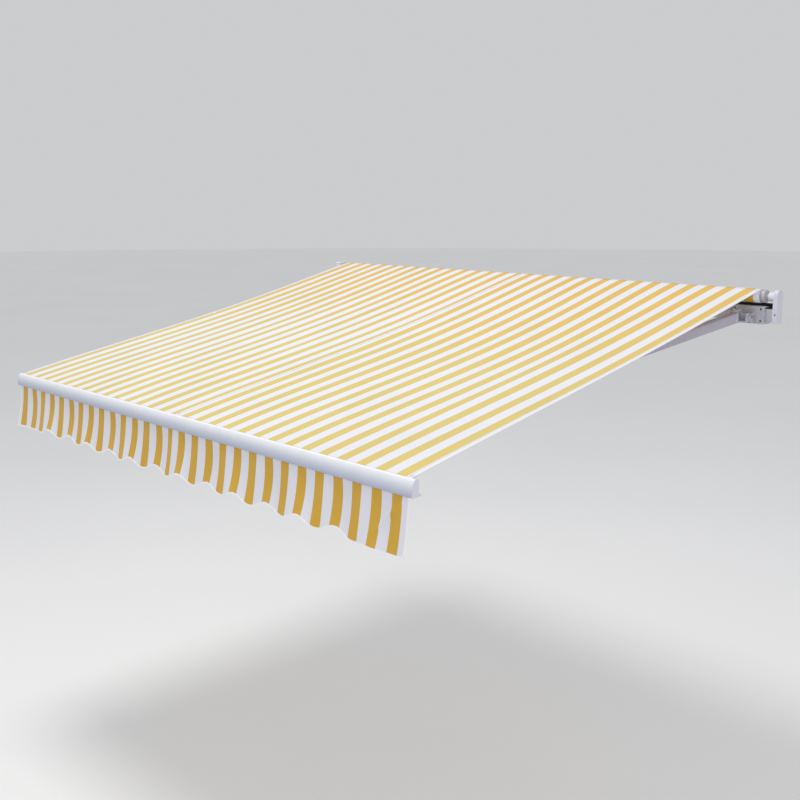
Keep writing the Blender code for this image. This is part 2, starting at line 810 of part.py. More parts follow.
# Canopy
def sag_share(share):
    """How the slack spreads from the roller to the front bar, 1 where it is deepest."""
    power = SAG_EVENNESS * SAG_DEEPEST / (1 - SAG_DEEPEST)
    most = SAG_DEEPEST**power * (1 - SAG_DEEPEST) ** SAG_EVENNESS
    return share**power * (1 - share) ** SAG_EVENNESS / most


def canopy(parent):
    origin = parent.location
    angle = leaving_angle()
    radius = roll_radius(ROLL_TURNS)
    start = ROLLER_CENTRE + radius * Vector((0, -math.sin(angle), math.cos(angle)))
    end = canopy_groove()
    away = (end - start).normalized()
    start = start + away * (SEAT_GAP + RUNNING_GAP)
    lead = start + away * CANOPY_LEAD
    slot = Vector((0, FRONT_BAR.y + CANOPY_SLOT[0], FRONT_BAR.z - 0.004))

    def place(x, row):
        if row == CANOPY_ROWS + 1:
            return slot + Vector((x, 0, 0)) - origin
        if row == 0:
            return start + Vector((x, 0, 0)) - origin
        share = (row - 1) / (CANOPY_ROWS - 1)
        sag = smooth_between(SAG_PLACES, SAG_DEPTHS, x) * sag_share(share)
        return lead.lerp(end, share) + Vector((x, 0, -sag)) - origin

    cloth_grid("canopy", band_edges(), CANOPY_ROWS + 1, place, parent)


# Front bar
def front_side():
    """The front of the front bar from the canopy slot down to the valance slot, as (y, z)."""
    start = (CANOPY_SLOT[0] - SLOT_WIDTH / 2, FRONT_FACE_TOP)
    return [start, *FRONT_FACE_POINTS, (FRONT_FACE_FOOT, BAR_BOTTOM)]


def back_side():
    """The back of the front bar from the bottom up to the canopy slot, as (y, z)."""
    upright = [(FRONT_FACE_BACK, FRONT_BACK_FOOT), (FRONT_FACE_BACK, FRONT_BACK_TOP), FRONT_BACK_CORNER]
    return [*FRONT_FOOT_POINTS, *upright, (CANOPY_SLOT[0] + SLOT_WIDTH / 2, GROOVE_LIP_HEIGHT)]


def bead_slot(centre, opens_up):
    """The keyhole groove that holds a cloth bead, entered from its mouth."""
    half = SLOT_WIDTH / 2
    lean = math.degrees(math.asin(half / BEAD_CHANNEL_RADIUS))
    if opens_up:
        return arc(centre, BEAD_CHANNEL_RADIUS, 90 - lean, -270 + lean, 12)
    return arc(centre, BEAD_CHANNEL_RADIUS, 270 - lean, -90 + lean, 12)


def front_bar(parent):
    outline = front_side()
    outline.append((VALANCE_SLOT[0] - SLOT_WIDTH / 2, BAR_BOTTOM))
    outline += bead_slot(VALANCE_SLOT, False)
    outline.append((VALANCE_SLOT[0] + SLOT_WIDTH / 2, BAR_BOTTOM))
    outline += back_side()
    outline += bead_slot(CANOPY_SLOT, True)
    hollow = [
        (-0.0180, -0.0165),
        (0.0006, -0.0165),
        (0.0006, -0.0420),
        (0.0115, -0.0525),
        (-0.0120, -0.0560),
        (-0.0120, -0.0440),
        (-0.0215, -0.0440),
        (-0.0212, -0.0280),
    ]
    length = FRONT_BAR_HALF_LENGTH
    prism("front_bar", [outline, hollow], -length, length, WHITE_ENAMEL, rotation=ALONG_X, parent=parent)
    cap = front_side() + back_side()
    for side_name, side in (("left", -1), ("right", 1)):
        ends = sorted((side * (length + SEAT_GAP), side * (length + SEAT_GAP + FRONT_CAP_THICKNESS)))
        prism(
            f"front_bar_cap_{side_name}",
            [cap],
            ends[0],
            ends[1],
            WHITE_PLASTIC,
            rotation=ALONG_X,
            parent=parent,
        )


# Valance
def valance_height(x):
    """Long at the ends, with a wave of short and long stripes between."""
    edges = band_edges()
    first = (edges[5] + edges[6]) / 2
    last = (edges[-7] + edges[-6]) / 2
    if x <= first or x >= last:
        return VALANCE_LONG
    middle = (VALANCE_LONG + VALANCE_SHORT) / 2
    swing = (VALANCE_LONG - VALANCE_SHORT) / 2
    waves = round((last - first) / VALANCE_WAVE)
    return middle + swing * math.cos(2 * math.pi * waves * (x - first) / (last - first))


def valance(parent):
    def place(x, row):
        if row == 0:
            return Vector((x, VALANCE_SLOT[0], BAR_BOTTOM + VALANCE_INSERT))
        share = row / VALANCE_ROWS
        sway = VALANCE_RIPPLE * math.sin(2 * math.pi * x / (2 * VALANCE_WAVE)) * share
        out = VALANCE_SWEEP * share * share + sway
        return Vector((x, VALANCE_SLOT[0] - out, BAR_BOTTOM - valance_height(x) * share))

    cloth_grid("valance", band_edges(), VALANCE_ROWS, place, parent)


# Arm brackets
def shoulder_clamp(side_name, side):
    """A hook round the torsion bar, open behind for the weather strip, with cheeks for the pitch bolt."""
    place = side * CLAMP_PLACE
    half = CLAMP_WIDTH / 2
    under = BAR_HEIGHT / 2 + SEAT_GAP
    above = BAR_HEIGHT / 2 + 2 * SEAT_GAP + STRIP_FOOT_THICKNESS
    back = BAR_BACK + SEAT_GAP
    jaw_end = BAR_Y + STRIP_FOOT_DEPTH / 2 - STRIP_THICKNESS - STRIP_CLAMP_GAP
    outline = [
        (CLAMP_FRONT, -under - CLAMP_WALL + CLAMP_CORNER),
        (CLAMP_FRONT + CLAMP_CORNER, -under - CLAMP_WALL),
        (back + CLAMP_WALL - CLAMP_CORNER, -under - CLAMP_WALL),
        (back + CLAMP_WALL, -under - CLAMP_WALL + CLAMP_CORNER),
        (back + CLAMP_WALL, CLAMP_BACK_HEIGHT),
        (back, CLAMP_BACK_HEIGHT),
        (back, -under),
        (BAR_FRONT - SEAT_GAP, -under),
        (BAR_FRONT - SEAT_GAP, above),
        (jaw_end, above),
        (jaw_end, above + CLAMP_JAW),
        (CLAMP_FRONT + CLAMP_CORNER, above + CLAMP_JAW),
        (CLAMP_FRONT, above + CLAMP_JAW - CLAMP_CORNER),
    ]
    sleeve = prism(
        f"shoulder_clamp_{side_name}", [outline], place - half, place + half, ARM_ENAMEL, rotation=ALONG_X
    )
    pin = PITCH_PIN
    cheek_half = CLAMP_CHEEK_HEIGHT / 2
    cheek_outline = hull_of(
        circle((pin.y, pin.z), 0.017, 20)
        + rectangle(CLAMP_FRONT, CLAMP_FRONT + 0.004, pin.z - cheek_half, pin.z + cheek_half)
    )
    inside = PITCH_LUG_WIDTH / 2 + RUNNING_GAP
    lug_place = side * PITCH_LUG_PLACE
    for cheek_name, way in (("outer", 1), ("inner", -1)):
        ends = sorted((lug_place + way * inside, lug_place + way * (inside + CLAMP_CHEEK_THICKNESS)))
        cheek = prism(
            f"cheek_{side_name}_{cheek_name}", [cheek_outline], *ends, rotation=ALONG_X, helper=True
        )
        join(sleeve, cheek)
    reach = inside + CLAMP_CHEEK_THICKNESS
    hole = rod(
        f"pitch_hole_{side_name}",
        (lug_place - reach - 0.01, pin.y, pin.z),
        (lug_place + reach + 0.01, pin.y, pin.z),
        PITCH_PIN_RADIUS + PIN_CLEARANCE,
        helper=True,
    )
    cut(sleeve, hole)
    bolt = rod(
        f"pitch_bolt_{side_name}",
        (lug_place - reach - 0.004, pin.y, pin.z),
        (lug_place + reach + 0.004, pin.y, pin.z),
        PITCH_PIN_RADIUS,
        BOLT_ZINC,
    )
    for way_name, way in (("head", 1), ("nut", -1)):
        start = lug_place + way * (reach + SEAT_GAP)
        stop = start + way * 0.007
        ends = ((start, pin.y, pin.z), (stop, pin.y, pin.z))
        join(bolt, rod(f"{way_name}_{side_name}", *ends, 0.012, helper=True, sides=6))
    inset = half - CLAMP_SCREW_INSET
    for number, (along, height) in enumerate((a, h) for a in (inset, -inset) for h in CLAMP_SCREW_HEIGHTS):
        x = place + along
        pocket = rod(
            f"screw_hole_{side_name}_{number}",
            (x, CLAMP_FRONT - 0.01, height),
            (x, CLAMP_FRONT + CLAMP_SCREW_DEPTH, height),
            CLAMP_SCREW_RADIUS,
            helper=True,
            sides=12,
        )
        cut(sleeve, pocket)


def pitch_block(side_name, side, parent):
    """The fork that carries the arm. It tilts on the pitch bolt."""
    fork_half = ARM_HEIGHT / 2 + RUNNING_GAP + SHOULDER_CHEEK
    pivot = SHOULDER - PITCH_PIN
    tilt = (ARM_PITCH, 0, 0)
    web = SHOULDER_FORK_RADIUS + 0.001
    length = math.hypot(pivot.y, pivot.z) - 0.012
    outline = hull_of(
        circle((0, 0), SHOULDER_FORK_RADIUS, 20)
        + rectangle(-SHOULDER_FORK_RADIUS, SHOULDER_FORK_RADIUS, web, length)
    )
    fork = prism(
        f"pitch_fork_{side_name}",
        [outline],
        -fork_half,
        fork_half,
        ARM_ENAMEL,
        location=pivot,
        rotation=tilt,
        parent=parent,
    )
    half = PITCH_BLOCK_HEIGHT / 2
    lug_outline = hull_of(
        circle((0, 0), PITCH_LUG_RADIUS, 20)
        + rectangle(-PITCH_BLOCK_REACH, 0.008 - PITCH_BLOCK_REACH, -half, half)
    )
    aside = side * (PITCH_LUG_PLACE - ARM_PLACE)
    lug = prism(
        f"pitch_lug_{side_name}",
        [lug_outline],
        aside - PITCH_LUG_WIDTH / 2,
        aside + PITCH_LUG_WIDTH / 2,
        rotation=ALONG_X,
        parent=parent,
        helper=True,
    )
    join(fork, lug)
    slot_half = ARM_HEIGHT / 2 + RUNNING_GAP
    slot = box(
        f"fork_slot_{side_name}",
        (-0.05, -0.05, -slot_half),
        (0.05, web, slot_half),
        location=pivot,
        rotation=tilt,
        parent=parent,
        helper=True,
    )
    pin_hole = rod(
        f"pitch_bore_{side_name}",
        (-0.08, 0, 0),
        (0.08, 0, 0),
        PITCH_PIN_RADIUS + PIN_CLEARANCE,
        parent=parent,
        helper=True,
    )
    cut(fork, slot, pin_hole)
    arm_hole = arm_pin_hole(f"shoulder_bore_{side_name}", 0.05, parent)
    set_place(arm_hole, pivot, tilt, parent)
    cut(fork, arm_hole)
    pin = arm_pin(f"shoulder_pin_{side_name}", fork_half, parent)
    set_place(pin, pivot, tilt, parent)


def arm_pin_hole(name, reach, parent):
    radius = ARM_PIN_RADIUS + PIN_CLEARANCE
    return rod(name, (0, 0, -reach), (0, 0, reach), radius, parent=parent, helper=True)


def arm_pin(name, half, parent):
    """A pin with a round head above and a circlip collar below."""
    top = half + SEAT_GAP
    pin = rod(name, (0, 0, -top - 0.003), (0, 0, top + 0.001), ARM_PIN_RADIUS, BOLT_ZINC, parent)
    head = rod(
        name + "_head",
        (0, 0, top),
        (0, 0, top + PIN_HEAD_HEIGHT),
        PIN_HEAD_RADIUS,
        end_radius=PIN_HEAD_RADIUS - 0.002,
        helper=True,
    )
    clip = rod(name + "_clip", (0, 0, -top - 0.002), (0, 0, -top), PIN_HEAD_RADIUS - 0.001, helper=True)
    head.parent = pin
    clip.parent = pin
    join(pin, head, clip)
    return pin


# Arms
def arm_tube(name, start, end, centre, parent):
    """A square tube along local -Y from start to end."""
    half = (ARM_WIDTH / 2, ARM_HEIGHT / 2)
    outer = rounded_rectangle((centre - half[0], -half[1]), (centre + half[0], half[1]), ARM_CORNER)
    inner = rounded_rectangle(
        (centre - half[0] + ARM_WALL, -half[1] + ARM_WALL),
        (centre + half[0] - ARM_WALL, half[1] - ARM_WALL),
        ARM_CORNER - ARM_WALL,
    )
    return prism(name, [outer, inner], start, end, ARM_ENAMEL, rotation=(math.pi / 2, 0, 0), parent=parent)


def spigot_block(name, start, end, centre, parent):
    """The part of a casting that slides into an arm tube, along local -Y."""
    inside = ARM_WALL + SEAT_GAP
    half = (ARM_WIDTH / 2 - inside, ARM_HEIGHT / 2 - inside)
    low = (centre - half[0], -half[1])
    outline = rounded_rectangle(low, (centre + half[0], half[1]), ARM_CORNER - ARM_WALL)
    return prism(name, [outline], start, end, rotation=(math.pi / 2, 0, 0), parent=parent, helper=True)


def knuckle_end(name, radius, height, tube_start, centre, parent, turned=False):
    """A casting with a round knuckle on the joint axis and a spigot in the tube, along local -Y."""
    block = (tube_start - COLLAR_LENGTH, tube_start - SEAT_GAP)
    way = 1 if turned else -1
    deep = way * (block[1] - JOIN_INSET)
    near = way * (block[0] - JOIN_INSET)
    wide = rectangle(centre - NECK_WIDTH / 2, centre + NECK_WIDTH / 2, *sorted((near, deep)))
    neck = hull_of(circle((0, 0), radius, 20) + wide)
    half = min(height / 2, ARM_HEIGHT / 2 - JOIN_INSET)
    piece = prism(name, [neck], -half, half, CAST_ALLOY, parent=parent)
    collar = rounded_rectangle(
        (centre - ARM_WIDTH / 2, -ARM_HEIGHT / 2), (centre + ARM_WIDTH / 2, ARM_HEIGHT / 2), ARM_CORNER
    )
    ends = (block[0], block[1]) if not turned else (-block[1], -block[0])
    along = (math.pi / 2, 0, 0)
    join(piece, prism(name + "_collar", [collar], *ends, rotation=along, parent=parent, helper=True))
    reach = (block[1] - 0.002, block[1] + ARM_SPIGOT)
    ends = reach if not turned else (-reach[1], -reach[0])
    join(piece, spigot_block(name + "_spigot", *ends, centre, parent))
    cut(piece, arm_pin_hole(name + "_bore", 0.05, parent))
    return piece


def elbow_part(name, side, radius, half_height, way, parent):
    """One half of the elbow. The pivot is the local origin, and the tube runs along way * Y."""
    inward = -side * ELBOW_OFFSET
    edges = sorted((inward - ARM_WIDTH / 2, inward + ARM_WIDTH / 2))
    near = ELBOW_BLOCK_START
    far = ELBOW_TUBE_START - SEAT_GAP
    root = (way * (near - JOIN_INSET), way * (near + COLLAR_LENGTH / 2))
    block = rectangle(edges[0] + JOIN_INSET, edges[1] - JOIN_INSET, *sorted(root))
    outline = hull_of(circle((0, 0), radius, 20) + block)
    piece = prism(name, [outline], -half_height, half_height, CAST_ALLOY, parent=parent)
    collar = rounded_rectangle(
        (edges[0], -ARM_HEIGHT / 2), (edges[1], ARM_HEIGHT / 2), ARM_CORNER
    )
    ends = sorted((-way * near, -way * far))
    along = (math.pi / 2, 0, 0)
    join(piece, prism(name + "_collar", [collar], *ends, rotation=along, parent=parent, helper=True))
    ends = sorted((-way * (far - 0.002), -way * (far + ARM_SPIGOT)))
    join(piece, spigot_block(name + "_spigot", *ends, inward, parent))
    return piece


def inner_arm(side_name, side, frame):
    """From the shoulder to the elbow. The frame's -Y runs from pivot to pivot."""
    profile = frame_at(f"inner_profile_{side_name}", rotation=(0, 0, -side * INNER_TURN), parent=frame)
    centre = side * SHOULDER_OFFSET
    name = f"inner_arm_shoulder_end_{side_name}"
    knuckle_end(name, SHOULDER_KNUCKLE_RADIUS, ARM_HEIGHT, SHOULDER_TUBE_START, centre, profile)
    arm_tube(f"inner_arm_{side_name}", SHOULDER_TUBE_START, INNER_REACH - ELBOW_TUBE_START, centre, profile)
    across = side * (SHOULDER_OFFSET + ELBOW_OFFSET)
    elbow = frame_at(f"inner_elbow_{side_name}", location=(across, -INNER_REACH, 0), parent=profile)
    half = ARM_HEIGHT / 2 - JOIN_INSET
    fork = elbow_part(f"elbow_fork_{side_name}", side, ELBOW_FORK_RADIUS, half, 1, elbow)
    slot_half = ELBOW_TONGUE_HEIGHT / 2 + RUNNING_GAP
    slot = box(
        f"elbow_slot_{side_name}",
        (-0.08, -0.08, -slot_half),
        (0.08, ELBOW_BLOCK_START - 0.0005, slot_half),
        parent=elbow,
        helper=True,
    )
    cut(fork, slot, arm_pin_hole(f"elbow_bore_{side_name}", 0.05, elbow))
    arm_pin(f"elbow_pin_{side_name}", ARM_HEIGHT / 2, elbow)
    arm_spring(side_name, centre, profile)
    return elbow


def arm_spring(side_name, centre, profile):
    """The tension spring inside the inner arm, hooked on the shoulder casting."""
    start = SHOULDER_TUBE_START + ARM_SPIGOT + SEAT_GAP
    pitch = SPRING_LENGTH / SPRING_RINGS
    outline = [(0, 0)]
    for ring in range(SPRING_RINGS):
        base = ring * pitch
        outline += [
            (SPRING_RADIUS - SPRING_GROOVE, base + pitch * 0.1),
            (SPRING_RADIUS, base + pitch * 0.35),
            (SPRING_RADIUS, base + pitch * 0.65),
            (SPRING_RADIUS - SPRING_GROOVE, base + pitch * 0.9),
        ]
    outline.append((0, SPRING_LENGTH))
    mesh = bpy.data.meshes.new(f"arm_spring_{side_name}")
    points = [(x, 0, -z) for x, z in outline]
    mesh.from_pydata(points, [(i, i + 1) for i in range(len(points) - 1)], [])
    spring = add_mesh(
        f"arm_spring_{side_name}",
        mesh,
        SPRING_STEEL,
        (centre, -start, 0),
        (-math.pi / 2, 0, 0),
        profile,
    )
    turn = spring.modifiers.new("turned", "SCREW")
    turn.axis = "Z"
    turn.steps = 8
    turn.render_steps = 8
    turn.use_merge_vertices = True
    turn.merge_threshold = 0.0001
    turn.use_smooth_shade = True


def outer_arm(side_name, side, frame):
    """From the elbow to the front bar. The frame's -Y runs from pivot to pivot."""
    tongue = elbow_part(
        f"elbow_tongue_{side_name}", side, ELBOW_TONGUE_RADIUS, ELBOW_TONGUE_HEIGHT / 2, -1,
        frame_at(f"outer_elbow_{side_name}", rotation=(0, 0, side * OUTER_TURN), parent=frame),
    )
    cut(tongue, arm_pin_hole(f"tongue_bore_{side_name}", 0.05, tongue.parent))
    front = frame_at(
        f"outer_profile_{side_name}",
        location=(0, -ARM_LENGTH, 0),
        rotation=(0, 0, side * OUTER_TURN),
        parent=frame,
    )
    centre = -side * FRONT_OFFSET
    name = f"outer_arm_front_end_{side_name}"
    sizes = (FRONT_KNUCKLE_RADIUS, FRONT_KNUCKLE_HEIGHT, FRONT_TUBE_START)
    knuckle_end(name, *sizes, centre, front, turned=True)
    arm_tube(f"outer_arm_{side_name}", ELBOW_TUBE_START - OUTER_REACH, -FRONT_TUBE_START, centre, front)


def front_bracket(side_name, side, parent):
    """The fork on the back of the front bar that holds the end of the arm."""
    place = side * ARM_PLACE
    pivot = FRONT_PIVOT - FRONT_BAR + Vector((place, 0, 0))
    near = FRONT_FACE_BACK + SEAT_GAP
    half = FRONT_PLATE_WIDTH / 2
    plate = box(
        f"front_bracket_{side_name}",
        (place - half, near, FRONT_PLATE_BOTTOM),
        (place + half, near + FRONT_PLATE_THICKNESS, FRONT_PLATE_TOP),
        CAST_ALLOY,
        parent=parent,
    )
    cheek_half = FRONT_KNUCKLE_HEIGHT / 2 + RUNNING_GAP + FRONT_CHEEK
    radius = FRONT_KNUCKLE_RADIUS + 0.002
    back = near + FRONT_PLATE_THICKNESS / 2 - pivot.y
    outline = hull_of(circle((0, 0), radius, 20) + rectangle(-radius, radius, back, back + 0.004))
    tilt = (ARM_PITCH, 0, 0)
    lug = prism(
        f"front_lug_{side_name}",
        [outline],
        -cheek_half,
        cheek_half,
        location=pivot,
        rotation=tilt,
        parent=parent,
        helper=True,
    )
    trim = box(
        f"front_trim_{side_name}",
        (place - 0.1, near - 0.1, -0.2),
        (place + 0.1, near, 0.1),
        parent=parent,
        helper=True,
    )
    slot_half = FRONT_KNUCKLE_HEIGHT / 2 + RUNNING_GAP
    slot = box(
        f"front_slot_{side_name}",
        (-0.05, -FRONT_FORK_DEPTH, -slot_half),
        (0.05, 0.05, slot_half),
        location=pivot,
        rotation=tilt,
        parent=parent,
        helper=True,
    )
    join(plate, lug)
    hole = arm_pin_hole(f"front_bore_{side_name}", 0.05, parent)
    set_place(hole, pivot, tilt, parent)
    cut(plate, trim, slot, hole)
    pin = arm_pin(f"front_pin_{side_name}", cheek_half, parent)
    set_place(pin, pivot, tilt, parent)


# Crank gear
def twisted(name, outline, length, turn, steps, finish, location, rotation, parent):
    """An outline swept along its normal while it turns, with both ends filled."""
    mesh = bpy.data.meshes.new(name)
    points = [(x, y, 0) for x, y in outline]
    loop = [(i, (i + 1) % len(points)) for i in range(len(points))]
    mesh.from_pydata(points, loop, [])
    guide = bpy.data.objects.new(name, mesh)
    cutters.objects.link(guide)
    sweep = guide.modifiers.new("sweep", "SCREW")
    sweep.axis = "Z"
    sweep.angle = turn
    sweep.screw_offset = length
    sweep.steps = steps
    sweep.render_steps = steps
    bpy.context.view_layer.update()
    swept = bpy.data.meshes.new_from_object(guide.evaluated_get(bpy.context.evaluated_depsgraph_get()))
    bpy.data.objects.remove(guide, do_unlink=True)
    shape = bmesh.new()
    shape.from_mesh(swept)
    bmesh.ops.remove_doubles(shape, verts=shape.verts, dist=1e-6)
    rims = [edge for edge in shape.edges if edge.is_boundary]
    bmesh.ops.holes_fill(shape, edges=rims, sides=0)
    bmesh.ops.translate(shape, vec=(0, 0, -length / 2), verts=shape.verts)
    bmesh.ops.triangulate(shape, faces=[face for face in shape.faces if len(face.verts) > 4])
    bmesh.ops.recalc_face_normals(shape, faces=shape.faces)
    return from_bmesh(name, shape, finish, location, rotation, parent, False)


def gear_pitch():
    return 2 * math.pi * GEAR_PITCH_RADIUS / GEAR_TEETH


def flank(height):
    """Half the thickness of a tooth or thread at a height above its pitch line."""
    return gear_pitch() * TOOTH_SHARE / 2 - height * math.tan(PRESSURE_ANGLE)


def gear_wheel(parent):
    outline = []
    for tooth in range(GEAR_TEETH):
        middle = 2 * math.pi * tooth / GEAR_TEETH + math.pi
        for height, way in (
            (-GEAR_DEDENDUM, -1),
            (GEAR_ADDENDUM, -1),
            (GEAR_ADDENDUM, 1),
            (-GEAR_DEDENDUM, 1),
        ):
            radius = GEAR_PITCH_RADIUS + height
            angle = middle + way * flank(height) / radius
            outline.append((radius * math.cos(angle), radius * math.sin(angle)))
    lead = WORM_STARTS * gear_pitch()
    turn = GEAR_FACE * lead / (2 * math.pi * WORM_PITCH_RADIUS) / GEAR_PITCH_RADIUS
    wheel = twisted(
        "gear_wheel", outline, GEAR_FACE, turn, 2, BRASS, (GEAR_PLACE, 0, 0),
        (math.pi / 2, 0, math.pi / 2), parent,
    )
    for vertex in wheel.data.vertices:
        vertex.co = Matrix.Rotation(-turn / 2, 3, "Z") @ vertex.co
    half = GEAR_HUB_LENGTH / 2
    ends = ((GEAR_PLACE - half, 0, 0), (GEAR_PLACE + half, 0, 0))
    hub = rod("gear_hub", *ends, GEAR_HUB_RADIUS, parent=parent, helper=True)
    square = DRIVE_SQUARE / 2 + SEAT_GAP
    hole = box(
        "hub_hole",
        (GEAR_PLACE - half - 0.01, -square, -square),
        (GEAR_PLACE + half + 0.01, square, square),
        parent=parent,
        helper=True,
    )
    join(wheel, hub)
    cut(wheel, hole)


def worm(parent):
    """The two-start worm, its shaft and the eye for the crank handle."""
    lead = WORM_STARTS * gear_pitch()
    outline = []
    for start in range(WORM_STARTS):
        middle = math.pi / 2 + math.pi * (2 * start + 1) / WORM_STARTS
        heights = (-GEAR_DEDENDUM, 0, GEAR_ADDENDUM)
        for way, order in ((-1, heights), (1, heights[::-1])):
            for height in order:
                radius = WORM_PITCH_RADIUS + height
                angle = middle + way * flank(height) * 2 * math.pi / lead
                outline.append((radius * math.cos(angle), radius * math.sin(angle)))
        root = WORM_PITCH_RADIUS - GEAR_DEDENDUM
        angle = middle + math.pi / WORM_STARTS
        outline.append((root * math.cos(angle), root * math.sin(angle)))
    turn = 2 * math.pi * WORM_LENGTH / lead
    middle = (0, 0, ROLLER_CENTRE.z)
    sizes = (WORM_LENGTH, turn, WORM_STEPS)
    thread = twisted("crank_worm", outline, *sizes, GREY_STEEL, middle, (0, 0, 0), parent)
    for vertex in thread.data.vertices:
        vertex.co = Matrix.Rotation(-turn / 2, 3, "Z") @ vertex.co
    top = ROLLER_CENTRE.z + WORM_LENGTH / 2 + 0.004
    ends = ((0, 0, CRANK_SHAFT_BOTTOM), (0, 0, top))
    shaft = rod("crank_shaft", *ends, CRANK_SHAFT_RADIUS, parent=parent, helper=True, sides=16)
    join(thread, shaft)
    bpy.ops.mesh.primitive_torus_add(
        major_segments=20, minor_segments=8, major_radius=CRANK_EYE_RADIUS, minor_radius=CRANK_EYE_WIRE
    )
    eye = bpy.context.active_object
    eye.name = "crank_eye_ring"
    for collection in list(eye.users_collection):
        collection.objects.unlink(eye)
    cutters.objects.link(eye)
    eye.hide_render = True
    eye.display_type = "WIRE"
    set_place(eye, (0, 0, CRANK_SHAFT_BOTTOM - CRANK_EYE_RADIUS), (math.pi / 2, 0, math.pi / 2), parent)
    join(thread, eye)


def gearbox():
    wall = GEARBOX_WALL
    centre = ROLLER_CENTRE
    room = GEAR_PITCH_RADIUS + GEAR_ADDENDUM + 0.002
    worm_room = WORM_PITCH_RADIUS + GEAR_ADDENDUM + 0.002
    low = (WORM_Y - worm_room - wall, centre.z - room - wall)
    high = (centre.y + room + wall, centre.z + room + wall)
    inner_low = (low[0] + wall, low[1] + wall)
    inner_high = (high[0] - wall, high[1] - wall)
    lid_start = GEARBOX_OUTER_END + GEARBOX_LID
    outline = rounded_rectangle(low, high, GEARBOX_CORNER)
    ends = (lid_start + SEAT_GAP, GEARBOX_INNER_END)
    case = prism("gearbox_case", [outline], *ends, WHITE_ENAMEL, rotation=ALONG_X)
    room_box = prism(
        "gearbox_room",
        [rounded_rectangle(inner_low, inner_high, 0.005)],
        lid_start - 0.01,
        GEARBOX_INNER_END - wall,
        rotation=ALONG_X,
        helper=True,
    )
    drive_hole = rod(
        "drive_hole",
        (GEARBOX_INNER_END - 0.02, centre.y, centre.z),
        (GEARBOX_INNER_END + 0.01, centre.y, centre.z),
        DRIVE_SQUARE / 2 * math.sqrt(2) + RUNNING_GAP,
        helper=True,
    )
    shaft_hole = rod(
        "shaft_hole",
        (GEAR_PLACE, WORM_Y, low[1] - 0.01),
        (GEAR_PLACE, WORM_Y, inner_low[1] + 0.001),
        CRANK_SHAFT_RADIUS + PIN_CLEARANCE,
        helper=True,
    )
    cut(case, room_box, drive_hole, shaft_hole)
    prism("gearbox_lid", [outline], GEARBOX_OUTER_END, lid_start, WHITE_ENAMEL, rotation=ALONG_X)


def build():
    torsion_bar()
    weather_strip()
    for name, place in WALL_BRACKET_PLACES.items():
        wall_bracket(name, place)
    sides = (("left", -1), ("right", 1))
    for side_name, side in sides:
        end_bracket(side_name, side)
        end_cover(side_name, side)
        shoulder_clamp(side_name, side)
    bearing_end()

    roller_axis = frame_at("roller_axis", ROLLER_CENTRE)
    roller(roller_axis)
    fabric_roll(roller_axis)
    gear_wheel(roller_axis)
    gearbox()
    worm(frame_at("crank_axis", (GEAR_PLACE, WORM_Y, 0)))

    canopy(frame_at("canopy_axis", ROLLER_CENTRE))
    front = frame_at("front_bar_origin", FRONT_BAR)
    front_bar(front)
    valance(front)

    for side_name, side in sides:
        across = Vector((side * ARM_PLACE, 0, 0))
        pitch_axis = frame_at(f"pitch_axis_{side_name}", PITCH_PIN + across)
        pitch_block(side_name, side, pitch_axis)
        plane = frame_at(f"arm_plane_{side_name}", SHOULDER + across, (ARM_PITCH, 0, 0))
        inner = frame_at(f"shoulder_axis_{side_name}", rotation=(0, 0, -side * ARM_ANGLE), parent=plane)
        inner_arm(side_name, side, inner)
        elbow_place = (
            -side * ARM_LENGTH * math.sin(ARM_ANGLE),
            -ARM_LENGTH * math.cos(ARM_ANGLE),
            0,
        )
        outer = frame_at(f"elbow_axis_{side_name}", elbow_place, (0, 0, side * ARM_ANGLE), plane)
        outer_arm(side_name, side, outer)
        front_bracket(side_name, side, front)


build()
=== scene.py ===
"""Looks of the folding-arm awning: striped cloth, enamelled bars and arms, cast brackets."""

import math

import bmesh
import bpy
from mathutils import Matrix, Vector


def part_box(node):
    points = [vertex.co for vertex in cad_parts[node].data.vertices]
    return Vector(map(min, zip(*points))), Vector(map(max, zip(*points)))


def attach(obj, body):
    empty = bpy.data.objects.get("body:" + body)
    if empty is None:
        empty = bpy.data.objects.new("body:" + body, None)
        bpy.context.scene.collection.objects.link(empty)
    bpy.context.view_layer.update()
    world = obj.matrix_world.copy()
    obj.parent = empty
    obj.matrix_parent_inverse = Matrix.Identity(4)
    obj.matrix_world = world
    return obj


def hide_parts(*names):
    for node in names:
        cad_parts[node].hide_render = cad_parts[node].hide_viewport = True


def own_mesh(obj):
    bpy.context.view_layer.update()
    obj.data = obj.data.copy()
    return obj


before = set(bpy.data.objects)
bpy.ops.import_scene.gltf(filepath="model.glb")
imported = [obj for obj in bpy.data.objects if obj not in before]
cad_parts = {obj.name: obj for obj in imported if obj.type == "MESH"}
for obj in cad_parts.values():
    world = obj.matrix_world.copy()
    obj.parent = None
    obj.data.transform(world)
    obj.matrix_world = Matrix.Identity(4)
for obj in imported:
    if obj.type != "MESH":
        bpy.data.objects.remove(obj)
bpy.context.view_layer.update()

# Torsion bar and wall brackets. A steel box tube lies in three pressed hooks that are bolted to
# the wall. Tube and hooks are enamelled in a light warm grey over galvanising; the bolts that
# hold the tube in its hooks are zinc plated.


